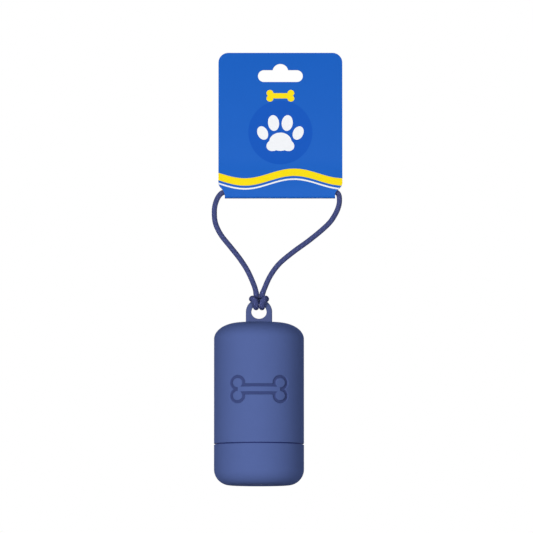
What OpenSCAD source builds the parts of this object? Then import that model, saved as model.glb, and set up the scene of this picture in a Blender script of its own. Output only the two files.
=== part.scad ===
// Waste bag dispenser for a dog lead: a screw-capped capsule with a roll of bags in it,
// hung by a cord loop from the fold of a retail hang card.
// X is across the card, Y is towards its back, Z is up. Millimetres.
// The origin is the centre of the card's hang slot.

/* [Bag roll] */
// Outer diameter of the full roll
roll_d = 30.5; // [28:0.5:34]
// Length of the roll, which is the bag's folded width
roll_l = 62; // [56:0.5:72]
// Number of bags on the roll
bag_count = 15; // [10:1:15]
// Outer diameter of the cardboard core
core_d = 14; // [12.5:0.5:15]
// Wall thickness of the core
core_wall = 1.2; // [1:0.1:1.5]
// Thickness of the paper band round the roll
band_t = 0.15; // [0.1:0.05:0.2]
// Width of the paper band
band_l = 20; // [12:1:30]

/* [Capsule] */
// Room between the roll's band and the neck's bore
roll_side_gap = 0.95; // [0.8:0.05:1.2]
// Room between the roll and the top of the chamber
headroom = 6.75; // [6.5:0.05:9]
// Sideways place of the capsule's axis
axis_x = -10; // [-12:1:-8]
// Height of the top of the capsule's dome
dome_z = -115.7; // [-116:0.1:-114]
// Wall thickness of the housing
wall = 2; // [1.8:0.1:2.2]
// Radius of the flat top of the dome
dome_flat_r = 9; // [8:0.1:9.5]
// Height of the dome's rounded shoulder
dome_rise = 7.75; // [7:0.05:8.5]

/* [Cap] */
// Height of the screw cap up to its rim
cap_h = 18.9; // [18.6:0.05:20]
// Thickness of the dark seal between the rim and the housing
seal_t = 0.45; // [0.4:0.05:0.5]
// Wall thickness of the cap
cap_wall = 1.9; // [1.8:0.1:2]
// Thickness of the cap's floor
floor_t = 2.2; // [2:0.1:2.5]
// Radius of the cap's rounded bottom edge
base_round = 7.5; // [7:0.1:8.5]
// Length of the bag outlet in the cap's floor
outlet_l = 18; // [14:1:19]
// Width of the bag outlet
outlet_w = 7; // [6:0.5:8]

/* [Screw] */
// Rise of the two-start thread in one turn
lead = 6; // [6:0.5:7]
// Height of a thread ridge
ridge_h = 0.9; // [0.8:0.05:1]
// Radial clearance between the threads
thread_gap = 0.25; // [0.2:0.01:0.3]
// Length of the housing's threaded neck
neck_l = 9; // [8.5:0.25:9.5]
// Wall thickness of the neck
neck_wall = 1.6; // [1.4:0.1:1.8]

/* [Tab] */
// Width of the cord tab over its arch
tab_w = 12.3; // [12:0.1:12.6]
// Thickness of the cord tab
tab_t = 2.8; // [2.6:0.1:2.9]
// Width of the tab's hole
tab_hole_w = 7.1; // [7:0.05:7.2]

/* [Cord] */
// Diameter of the cord
cord_d = 2.4; // [2.3:0.05:2.45]
// Length of the sleeve that joins the cord's ends
sleeve_l = 14; // [10:1:18]

/* [Card] */
// Width of the hang card
card_w = 58; // [57.5:0.5:60]
// Height from the slot's centre to the card's top edge
card_top = 10.9; // [10:0.1:12]
// Height from the slot's centre to the bottom of the fold
card_drop = 57.5; // [57.3:0.1:57.8]
// How square the folded edge is, from 2 for round
fold_square = 4; // [2:0.5:5]
// Thickness of the board
board_t = 0.45; // [0.4:0.05:0.5]
// Radius of the card's top corners
card_corner = 4.6; // [4:0.1:6]
// Length of the hang slot
slot_l = 21; // [18:0.5:24]
// Height of the hang slot's straight part
slot_h = 5.6; // [5.4:0.1:6]
// Radius of the round rise over the slot
slot_bump_r = 3.7; // [3.4:0.1:4]

/* [Hidden] */
$fn = 96;
BAG_NODES = [for (i = [1:bag_count]) str("bag_", i < 10 ? "0" : "", i)];

// Colours
navy = "#44518c";
navy_dark = "#2b3566";
card_blue = "#2868c8";

// Bag roll, on the cap's ribs. Each bag takes the same share of the roll's end area
core_r = core_d / 2;
roll_r = roll_d / 2;
rib_top = floor_t + 2.8;
roll_gap = 0.15;
roll_z = rib_top + roll_gap;
function wound_r(n) = sqrt(core_r * core_r + (roll_r * roll_r - core_r * core_r) * n / bag_count);

// Radii from the roll outwards: neck, thread, cap
neck_bore_r = roll_r + band_t + roll_side_gap;
neck_r = neck_bore_r + neck_wall;
cap_inner_r = neck_r + thread_gap + ridge_h;
body_r = cap_inner_r + cap_wall;

// Capsule, measured up from its base
inner_top_z = roll_z + roll_l + headroom;
body_h = inner_top_z + wall + 0.1;
base_z = dome_z - body_h;
seat_gap = 0.05;
shoulder_z = cap_h + seal_t + seat_gap;
dome_start_z = body_h - dome_rise;
inner_r = body_r - wall;
inner_flat_r = dome_flat_r;
inner_rise = dome_rise - 1.6;
lip = 0.15;

// Cap
cap_round = base_round - floor_t + 0.3;
rib_count = 4;
rib_t = 1.6;
rib_in = core_r + 4;
rib_out = roll_r + 1.25;
flare = 0.8;

// Screw thread
pitch = lead / 2;
crest_w = 0.9;
root_w = 1.9;
bite = 0.35;
ridge_turns = 0.75;
ridge_steps = 48;
ridge_taper = 4;
neck_low_z = shoulder_z - neck_l;
male_z = neck_low_z + 1.3;
female_turns = 0.65;
female_z = male_z + pitch / 2;

// Tab, in the capsule's frame
tab_r = tab_w / 2;
tab_rise = 4.9;
tab_z = body_h + tab_rise;
tab_edge = 0.7;
tab_hole_up = 3.7;
tab_hole_down = 3.15;
tab_hole_edge = 0.4;
bar_in = tab_hole_down - 0.4;

// Bone mark, pressed into the housing's front
bone_z = body_h / 2 + 6;
bone_l = 20;
bone_knob_r = 3.5;
bone_knob_up = 3;
bone_bar_h = 5;
bone_line = 1.3;
bone_depth = 0.4;
bone_h = 2 * (bone_knob_up + bone_knob_r);

// Card profile: the fold is a round pocket for the cord and narrows to two bonded panels
fold_r = 2.2;
fold_z = -card_drop + fold_r;
pocket_top_z = -53.6;
bond_z = -38;
bond_t = 0.1;
panel_y = bond_t / 2 + board_t;
notch_in = 3;
notch_x = card_w / 2 - notch_in;
slot_bump_z = 2;
cut_reach = 3 * fold_r;

// Cord: routes of round numbers, X Y Z, as the cord lies
cord_r = cord_d / 2;
fold_axis_z = -54.6;
strand_ends_z = -99.6;
loop_route = [
    [-11.85, 0, strand_ends_z], [-12.8, 0, -97], [-15.4, 0, -91.3], [-19, 0, -85.7],
    [-23.5, 0, -80], [-27.9, 0, -74.4], [-30.4, 0, -69], [-30.9, 0, -63.8],
    [-30.6, 0, -60.8], [-29.7, 0, -58], [-28.6, 0, -56.1], [-27.3, 0, -54.9],
    [-26, 0, fold_axis_z],
    [-24, 0, fold_axis_z], [24, 0, fold_axis_z], [26, 0, fold_axis_z],
    [27, 0, -54.9], [27.6, 0, -56], [27.6, 0, -58.5], [26.5, 0, -63.2],
    [23.7, 0, -68], [20.2, 0, -71.6], [13.4, 0, -77.2], [5.6, 0, -82.9],
    [-0.9, 0, -88.5], [-4.9, 0, -94.1], [-7.4, 0, strand_ends_z]
];
// Half of the hitch on the tab's bar: X from the capsule's axis, Z from the tab's centre
hitch_r = 1.1;
hitch_half = [
    [-1.5, 0, 8.6], [-1.35, 0.7, 7.6], [-1.3, 2.05, 6.6], [-1.3, 2.7, 5.1],
    [-1.3, 2.6, 3.4], [-1.33, 1.5, 2.25], [-1.35, 0, 2], [-1.35, -1.5, 2.25],
    [-1.4, -2.65, 3.4], [-1.85, -2.85, 4.6], [-2.65, -2.4, 5.85], [-3.35, -1.1, 6.6],
    [-3.7, 0.7, 6.7], [-3.8, 2.4, 6.5], [-3.3, 4.3, 6.2], [-1.8, 5.3, 6.05]
];
hitch_bight = [0, 5.5, 6];

// ---- Curves ----

function unit(v) = v / norm(v);

// Points on an arc about c, from angle a0 to a1, in n steps
function arc(c, rx, ry, a0, a1, n) = [
    for (i = [0:n]) let (a = a0 + (a1 - a0) * i / n) [c[0] + rx * cos(a), c[1] + ry * sin(a)]
];

function flipped(points) = [
    for (i = [len(points) - 1:-1:0]) [-points[i][0], points[i][1], points[i][2]]
];

// Catmull-Rom point between b and c
function between(a, b, c, d, t) = 0.5 * (
    2 * b + (c - a) * t + (2 * a - 5 * b + 4 * c - d) * t * t
    + (3 * b - a - 3 * c + d) * t * t * t
);

// The smooth line through a route, with n steps between two points
function smooth(route, n) = let (last = len(route) - 1) concat(
    [for (i = [0:last - 1]) for (k = [0:n - 1])
        between(
            route[max(i - 1, 0)], route[i], route[i + 1], route[min(i + 2, last)], k / n
        )],
    [route[last]]
);

function directions(line) = let (last = len(line) - 1) [
    for (i = [0:last]) unit(line[min(i + 1, last)] - line[max(i - 1, 0)])
];

// A sideways vector at each point, carried along the line without twist
function sideways(dirs) = [
    for (
        i = 0, s = unit(cross(dirs[0], [1, 0, 0.01]));
        i < len(dirs);
        i = i + 1, s = i < len(dirs) ? unit(s - (s * dirs[i]) * dirs[i]) : s
    ) s
];

// ---- Solids used more than once ----

// A closed tube along a line, with rounded ends
module tube(line, r, sides = 8) {
    dirs = directions(line);
    side = sideways(dirs);
    last = len(line) - 1;
    tip = [80, 45];
    rings = concat(
        [for (a = tip) [line[0] - dirs[0] * r * sin(a), dirs[0], side[0], r * cos(a)]],
        [for (i = [0:last]) [line[i], dirs[i], side[i], r]],
        [for (k = [1:-1:0])
            [line[last] + dirs[last] * r * sin(tip[k]), dirs[last], side[last], r * cos(tip[k])]]
    );
    points = [for (g = rings) for (j = [0:sides - 1]) let (a = 360 * j / sides)
        g[0] + g[3] * (cos(a) * g[2] + sin(a) * cross(g[1], g[2]))];
    top = len(rings) - 1;
    faces = concat(
        [[for (j = [0:sides - 1]) j]],
        [for (i = [0:top - 1]) for (j = [0:sides - 1]) let (k = (j + 1) % sides)
            [i * sides + j, (i + 1) * sides + j, (i + 1) * sides + k, i * sides + k]],
        [[for (j = [sides - 1:-1:0]) top * sides + j]]
    );
    polyhedron(points = points, faces = faces, convexity = 10);
}

// A helical ridge that grows out of a round wall: towards = 1 outwards, -1 inwards
module ridge(wall_r, towards, turns, start_z, start_angle) {
    steps = ceil(ridge_steps * turns);
    points = [for (i = [0:steps]) let (
        a = start_angle + 360 * turns * i / steps,
        z = start_z + lead * turns * i / steps,
        full = min(1, i / ridge_taper, (steps - i) / ridge_taper),
        root = wall_r - towards * bite,
        crest = wall_r + towards * (full * (ridge_h + bite) - bite + 0.05),
        w = root_w + (root_w - crest_w) * bite / ridge_h
    ) each [
        [root * cos(a), root * sin(a), z - w / 2],
        [crest * cos(a), crest * sin(a), z - crest_w / 2],
        [crest * cos(a), crest * sin(a), z + crest_w / 2],
        [root * cos(a), root * sin(a), z + w / 2]
    ]];
    walls = [for (i = [0:steps - 1]) for (j = [0:3]) let (k = (j + 1) % 4)
        [4 * i + j, 4 * i + k, 4 * i + 4 + k, 4 * i + 4 + j]];
    ends = [[3, 2, 1, 0], [for (j = [0:3]) 4 * steps + j]];
    faces = concat(walls, ends);
    polyhedron(
        points = points,
        faces = towards < 0 ? [for (f = faces) [for (j = [len(f) - 1:-1:0]) f[j]]] : faces,
        convexity = 6
    );
}

module hollow(outer_r, inner_r, h) {
    difference() {
        cylinder(r = outer_r, h = h);
        translate([0, 0, -1]) cylinder(r = inner_r, h = h + 2);
    }
}

module at_capsule() {
    translate([axis_x, 0, base_z]) children();
}

// ---- Capsule ----

module housing_shell() {
    rotate_extrude() polygon(concat(
        [[neck_r - 0.3, neck_low_z], [neck_r, neck_low_z + 0.3], [neck_r, shoulder_z]],
        [[body_r - lip, shoulder_z], [body_r, shoulder_z + lip]],
        arc([dome_flat_r, dome_start_z], body_r - dome_flat_r, dome_rise, 0, 90, 12),
        [[0, body_h], [0, inner_top_z]],
        arc([inner_flat_r, inner_top_z - inner_rise], inner_r - inner_flat_r, inner_rise, 90, 0, 10),
        [[inner_r, shoulder_z + 5], [neck_bore_r, shoulder_z + wall], [neck_bore_r, neck_low_z + 0.3]],
        [[neck_bore_r + 0.3, neck_low_z]]
    ));
}

// The arch of the tab: a bar with rounded outer edges, and the web between its legs
module tab_body() {
    half = tab_t / 2;
    translate([0, 0, tab_z]) rotate([90, 0, 0]) rotate_extrude(angle = 180) polygon(concat(
        [[bar_in, -half]],
        arc([tab_r - tab_edge, -half + tab_edge], tab_edge, tab_edge, -90, 0, 4),
        arc([tab_r - tab_edge, half - tab_edge], tab_edge, tab_edge, 0, 90, 4),
        [[bar_in, half]]
    ));
    leg_z = body_h - wall / 2 - 0.4;
    translate([0, 0, leg_z]) linear_extrude(tab_z - leg_z) polygon(concat(
        arc([tab_r - tab_edge, -half + tab_edge], tab_edge, tab_edge, -90, 0, 4),
        arc([tab_r - tab_edge, half - tab_edge], tab_edge, tab_edge, 0, 90, 4),
        arc([-tab_r + tab_edge, half - tab_edge], tab_edge, tab_edge, 90, 180, 4),
        arc([-tab_r + tab_edge, -half + tab_edge], tab_edge, tab_edge, 180, 270, 4)
    ));
}

// The hole's outline is flatter below than above, and grow widens it all round
module hole_outline(grow) {
    polygon(concat(
        arc([0, 0], tab_hole_w / 2 + grow, tab_hole_up + grow, 0, 180, 24),
        arc([0, 0], tab_hole_w / 2 + grow, tab_hole_down + grow, 180, 360, 24)
    ));
}

// The hole through the tab, with its edges cut back in two small steps
module tab_hole() {
    translate([0, 0, tab_z]) rotate([90, 0, 0]) {
        linear_extrude(tab_t + 2, center = true) hole_outline(0);
        for (s = [0, 1]) for (i = [1:2]) mirror([0, 0, s])
            translate([0, 0, tab_t / 2 - tab_hole_edge * (3 - i) / 3])
                linear_extrude(tab_hole_edge + 1) hole_outline(tab_hole_edge * i / 3);
    }
}

module bone_shape(inset) {
    for (sx = [-1, 1]) for (sz = [-1, 1])
        translate([sx * bone_l / 2, sz * bone_knob_up]) circle(r = bone_knob_r - inset);
    square([bone_l, bone_bar_h - 2 * inset], center = true);
}

// The bone is drawn as a line of one width
module bone_outline() {
    difference() {
        bone_shape(0);
        bone_shape(bone_line);
    }
}

module bone_press() {
    intersection() {
        translate([0, 0, bone_z]) rotate([90, 0, 0]) linear_extrude(body_r + 2) bone_outline();
        translate([0, 0, bone_z - bone_h / 2 - 1])
            hollow(body_r + 1, body_r - bone_depth, bone_h + 2);
    }
}

module housing() {
    color(navy) at_capsule() difference() {
        union() {
            housing_shell();
            tab_body();
            for (a = [0, 180]) ridge(neck_r, 1, ridge_turns, male_z, a);
        }
        tab_hole();
        bone_press();
    }
}

module seam_seal() {
    color("#1c2038") at_capsule() translate([0, 0, cap_h])
        hollow(body_r - 0.6, cap_inner_r, seal_t);
}

// ---- Cap ----

module cap_shell() {
    rotate_extrude() polygon(concat(
        [[0, 0]],
        arc([body_r - base_round, base_round], base_round, base_round, -90, 0, 12),
        [[body_r, cap_h - lip], [body_r - lip, cap_h], [cap_inner_r, cap_h]],
        arc([cap_inner_r - cap_round, floor_t + cap_round], cap_round, cap_round, 0, -90, 10),
        [[0, floor_t]]
    ));
}

// Ribs that hold the bag roll clear of the floor
module cap_ribs() {
    for (i = [0:rib_count - 1]) rotate([0, 0, 45 + 360 * i / rib_count])
        translate([rib_in, -rib_t / 2, floor_t - 0.4])
            cube([rib_out - rib_in, rib_t, rib_top - floor_t + 0.4]);
}

function stadium(l, w) = concat(
    arc([l / 2 - w / 2, 0], w / 2, w / 2, -90, 90, 12),
    arc([w / 2 - l / 2, 0], w / 2, w / 2, 90, 270, 12)
);

module outlet() {
    translate([0, 0, -1]) linear_extrude(floor_t + 2) polygon(stadium(outlet_l, outlet_w));
    // Flared lip outside, in two small steps, so the film pulls off over a dull edge
    for (i = [0:1]) translate([0, 0, -1]) linear_extrude(1 + flare * (2 - i) / 3)
        polygon(stadium(outlet_l + flare * (i + 1), outlet_w + flare * (i + 1)));
}

module cap() {
    color(navy) at_capsule() difference() {
        union() {
            cap_shell();
            cap_ribs();
            for (a = [0, 180]) ridge(cap_inner_r, -1, female_turns, female_z, a);
        }
        outlet();
    }
}

// ---- Bag roll ----

module roll_core() {
    color("#b08d62") at_capsule() translate([0, 0, roll_z])
        hollow(core_r, core_r - core_wall, roll_l);
}

// Bag n, counted from the core out: its turns of film as one closed sleeve
module bag(n) {
    color(n % 2 == 0 ? "#3f6fb8" : "#4a7cc4") at_capsule() translate([0, 0, roll_z])
        hollow(wound_r(n), wound_r(n - 1), roll_l);
}

module roll_band() {
    color("white") at_capsule() translate([0, 0, roll_z + (roll_l - band_l) / 2])
        hollow(roll_r + band_t, roll_r, band_l);
}

// ---- Cord ----

module lanyard_cord() {
    color(navy_dark) tube(smooth(loop_route, 1), cord_r);
}

module cord_sleeve() {
    color("#20264a") translate([-sleeve_l / 2, 0, fold_axis_z]) rotate([0, 90, 0])
        hollow(cord_r + 0.25, cord_r, sleeve_l);
}

module lanyard_hitch() {
    color(navy_dark) at_capsule() translate([0, 0, tab_z])
        tube(smooth(concat(hitch_half, [hitch_bight], flipped(hitch_half)), 2), hitch_r);
}

// ---- Card ----

// Half of the card's outline, seen from the front, from the bottom up to the top
function card_side(s) = let (x = card_w / 2) concat(
    [for (p = [
        [notch_x, -card_drop - 1], [notch_x, -56], [notch_x + 0.15, -54.8],
        [notch_x + 1.1, -53.4], [x - 0.4, -52], [x, -51.1]
    ]) [s * p[0], p[1]]],
    [for (p = arc([x - card_corner, card_top - card_corner], card_corner, card_corner, 0, 90, 12))
        [s * p[0], p[1]]]
);

module card_outline() {
    right = card_side(1);
    left = card_side(-1);
    polygon(concat(right, [for (i = [len(left) - 1:-1:0]) left[i]]));
}

module slot_outline() {
    rise = asin((slot_h / 2 - slot_bump_z) / slot_bump_r);
    polygon(concat(
        arc([slot_l / 2 - slot_h / 2, 0], slot_h / 2, slot_h / 2, -90, 90, 12),
        arc([0, slot_bump_z], slot_bump_r, slot_bump_r, rise, 180 - rise, 12),
        arc([slot_h / 2 - slot_l / 2, 0], slot_h / 2, slot_h / 2, 90, 270, 12)
    ));
}

// Extrudes a front view through the card from y0 to y1
module through(y0, y1) {
    translate([0, y1, 0]) rotate([90, 0, 0]) linear_extrude(y1 - y0) children();
}

// Extrudes a side view, drawn as Y and Z, across the card
module across() {
    translate([-card_w / 2 - 1, 0, 0]) rotate([90, 0, 90]) linear_extrude(card_w + 2) children();
}

// Half of a rounded square, below the pocket's axis
function fold_arc(r) = let (e = 2 / fold_square) [
    for (a = [180:7.5:360])
        [r * sign(cos(a)) * pow(abs(cos(a)), e), fold_z - r * pow(abs(sin(a)), e)]
];

module fold_side(r, panel) {
    polygon(concat(
        fold_arc(r),
        [[r, pocket_top_z], [panel, bond_z], [panel, card_top + 1]],
        [[-panel, card_top + 1], [-panel, bond_z], [-r, pocket_top_z]]
    ));
}

module hang_card() {
    color(card_blue) difference() {
        intersection() {
            across() fold_side(fold_r, panel_y);
            through(-cut_reach, cut_reach) card_outline();
        }
        across() fold_side(fold_r - board_t, bond_t / 2);
        through(-cut_reach, cut_reach) slot_outline();
    }
}

// The glue film that holds the two panels together above the pocket
module card_adhesive() {
    inset = 1.5;
    color("#d8d8d0") difference() {
        intersection() {
            through(-bond_t / 2, bond_t / 2) card_outline();
            translate([inset - card_w / 2, -1, bond_z + inset])
                cube([card_w - 2 * inset, 2, card_top - bond_z - 2 * inset]);
        }
        through(-1, 1) slot_outline();
    }
}

// ---- Nodes ----

hang_card();
card_adhesive();
lanyard_cord();
cord_sleeve();
lanyard_hitch();
housing();
seam_seal();
cap();
roll_core();
for (i = [1:bag_count]) bag(i);
roll_band();
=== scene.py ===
"""Looks of a screw-capped dispenser of dog waste bags, hitched by a cord loop through its hang card.

Metres. X runs across the card, Y towards its back, Z up, and the origin is the middle of the hang slot.
"""
import functools
import logging
import math
from dataclasses import dataclass
from enum import Enum
from typing import Callable, Sequence

import bmesh
import bpy
import numpy as np
from mathutils import Matrix, Vector


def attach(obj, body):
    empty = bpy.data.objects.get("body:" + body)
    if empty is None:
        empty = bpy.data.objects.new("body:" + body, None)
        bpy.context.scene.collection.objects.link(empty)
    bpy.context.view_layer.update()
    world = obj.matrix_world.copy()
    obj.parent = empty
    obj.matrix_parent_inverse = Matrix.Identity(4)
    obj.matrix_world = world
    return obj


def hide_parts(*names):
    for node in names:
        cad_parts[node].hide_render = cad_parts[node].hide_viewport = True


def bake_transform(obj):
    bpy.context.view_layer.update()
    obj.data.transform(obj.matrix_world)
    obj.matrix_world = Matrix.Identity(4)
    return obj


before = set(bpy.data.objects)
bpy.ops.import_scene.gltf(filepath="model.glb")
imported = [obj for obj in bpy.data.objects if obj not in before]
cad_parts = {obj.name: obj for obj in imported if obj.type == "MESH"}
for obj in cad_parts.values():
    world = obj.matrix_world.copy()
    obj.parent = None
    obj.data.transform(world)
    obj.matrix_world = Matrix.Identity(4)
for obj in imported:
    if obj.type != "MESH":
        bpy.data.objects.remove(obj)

MM = 0.001
AXIS_X = -0.010
FOLD_Z = -0.0546
SHARP_DEG = 32.0
MERGE = 1e-6
TOUCH = 1e-7
TINY = 1e-9
log = logging.getLogger("dispenser")

Colour = tuple[float, float, float, float]
Flat = tuple[float, float]
Point = tuple[float, float, float]


# ---- Shader graphs ----


def paint(red: int, green: int, blue: int) -> Colour:
    """Turns an 8-bit screen colour into a linear one.

    Args:
        red: 0 to 255.
        green: 0 to 255.
        blue: 0 to 255.

    Returns:
        The linear colour with an alpha of 1.
    """
    parts = [c / 255 for c in (red, green, blue)]
    linear = [c / 12.92 if c <= 0.04045 else ((c + 0.055) / 1.055) ** 2.4 for c in parts]
    return (*linear, 1.0)


class Graph:
    """Adds and joins the nodes of one material or group."""

    def __init__(self, tree: bpy.types.NodeTree) -> None:
        """Keeps the tree that the nodes go into."""
        self.tree = tree

    def add(self, kind: str, **settings: object) -> bpy.types.Node:
        """Adds a node.

        Args:
            kind: Blender's name of the node's type, without ShaderNode.
            settings: Properties to set on it.

        Returns:
            The node.
        """
        node = self.tree.nodes.new("ShaderNode" + kind)
        for name, value in settings.items():
            setattr(node, name, value)
        return node

    def feed(self, socket: bpy.types.NodeSocket, value: object) -> None:
        """Links value into socket if it is a socket, and otherwise sets it there.

        Args:
            socket: The input that takes it.
            value: A socket, a plain value, or None to leave the input as it is.
        """
        if isinstance(value, bpy.types.NodeSocket):
            self.tree.links.new(value, socket)
        elif value is not None:
            socket.default_value = value

    def math(self, operation: str, *values: object) -> bpy.types.NodeSocket:
        """Adds a Math node.

        Args:
            operation: Blender's name of the operation.
            values: What it works on, as values or sockets.

        Returns:
            The result's socket.
        """
        node = self.add("Math", operation=operation)
        for socket, value in zip(node.inputs, values):
            self.feed(socket, value)
        return node.outputs[0]

    def vector(self, operation: str, *values: object) -> bpy.types.Node:
        """Adds a Vector Math node.

        Args:
            operation: Blender's name of the operation.
            values: What it works on, as values or sockets.

        Returns:
            The node.
        """
        node = self.add("VectorMath", operation=operation)
        for socket, value in zip(node.inputs, values):
            self.feed(socket, value)
        return node

    def split(self, vector: object) -> bpy.types.Node:
        """Adds a Separate XYZ node.

        Args:
            vector: The vector or socket to split.

        Returns:
            The node.
        """
        node = self.add("SeparateXYZ")
        self.feed(node.inputs[0], vector)
        return node

    def seen(self) -> bpy.types.NodeSocket:
        """Tells what the camera sees, straight, mirrored or through glass, from what lights the object.

        Returns:
            A socket that is 1 for what the camera sees, and otherwise 0.
        """
        path = self.add("LightPath")
        mirrored = self.math("MAXIMUM", path.outputs["Is Glossy Ray"], path.outputs["Is Transmission Ray"])
        return self.math("MAXIMUM", path.outputs["Is Camera Ray"], mirrored)

    def remap(self, value: object, low: object, high: object, to_low: float = 0.0,
              to_high: float = 1.0, smooth: bool = False) -> bpy.types.NodeSocket:
        """Maps a range of a value onto another, clamped.

        Args:
            value: The value or socket to map.
            low: Start of its range.
            high: End of its range.
            to_low: What low becomes.
            to_high: What high becomes.
            smooth: Whether the way between is eased.

        Returns:
            The result's socket.
        """
        kind = "SMOOTHSTEP" if smooth else "LINEAR"
        node = self.add("MapRange", interpolation_type=kind)
        for socket, part in zip(node.inputs, (value, low, high, to_low, to_high)):
            self.feed(socket, part)
        return node.outputs[0]

    def mix(self, share: object, a: object, b: object, blend: str = "MIX") -> bpy.types.NodeSocket:
        """Mixes two colours.

        Args:
            share: How much of b.
            a: First colour or socket.
            b: Second colour or socket.
            blend: Blender's name of the blend type.

        Returns:
            The mixed colour's socket.
        """
        node = self.add("Mix", data_type="RGBA", blend_type=blend, clamp_factor=True)
        self.feed(node.inputs[0], share)
        self.feed(node.inputs[6], a)
        self.feed(node.inputs[7], b)
        return node.outputs[2]

    def noise(self, vector: object, scale: object, detail: float = 2.0,
              roughness: float = 0.5) -> bpy.types.NodeSocket:
        """Adds a Noise Texture.

        Args:
            vector: Where it is read.
            scale: Its frequency.
            detail: Number of finer layers.
            roughness: Strength of the finer layers.

        Returns:
            Its grey value's socket.
        """
        node = self.add("TexNoise")
        self.feed(node.inputs["Vector"], vector)
        self.feed(node.inputs["Scale"], scale)
        node.inputs["Detail"].default_value = detail
        node.inputs["Roughness"].default_value = roughness
        return node.outputs[0]

    def in_mm(self, stretch: Sequence[float] = (1, 1, 1),
              centre: Sequence[float] = (0, 0, 0)) -> bpy.types.NodeSocket:
        """Object coordinates in millimetres through a Mapping node.

        Args:
            stretch: Factor on each axis.
            centre: Point in metres that becomes the pattern's origin.

        Returns:
            The mapped vector's socket.
        """
        coordinates = self.add("TexCoord")
        mapping = self.add("Mapping")
        scale = [s / MM for s in stretch]
        mapping.inputs["Scale"].default_value = scale
        mapping.inputs["Location"].default_value = [-c * s for c, s in zip(centre, scale)]
        self.feed(mapping.inputs["Vector"], coordinates.outputs["Object"])
        return mapping.outputs[0]

    def bump(self, height: object, distance: float, normal: object = None) -> bpy.types.NodeSocket:
        """Adds a Bump node.

        Args:
            height: Socket of a height from 0 to 1.
            distance: Depth in metres.
            normal: Normal that it builds on.

        Returns:
            The bent normal's socket.
        """
        node = self.add("Bump")
        node.inputs["Strength"].default_value = 1.0
        node.inputs["Distance"].default_value = distance
        self.feed(node.inputs["Height"], height)
        self.feed(node.inputs["Normal"], normal)
        return node.outputs[0]

    def patchy(self, tone: bpy.types.Node, low: float, high: float) -> bpy.types.NodeSocket:
        """Takes a roughness from low to high over the patches of a mottle."""
        return self.remap(tone.outputs["Patches"], 0.3, 0.7, low, high)

    def use(self, group: bpy.types.NodeTree, **values: object) -> bpy.types.Node:
        """Adds a group node.

        Args:
            group: The shader group.
            values: What its inputs take, with _ for a space in a name.

        Returns:
            The group's node.
        """
        node = self.add("Group", node_tree=group)
        for name, value in values.items():
            self.feed(node.inputs[name.replace("_", " ")], value)
        return node


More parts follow.
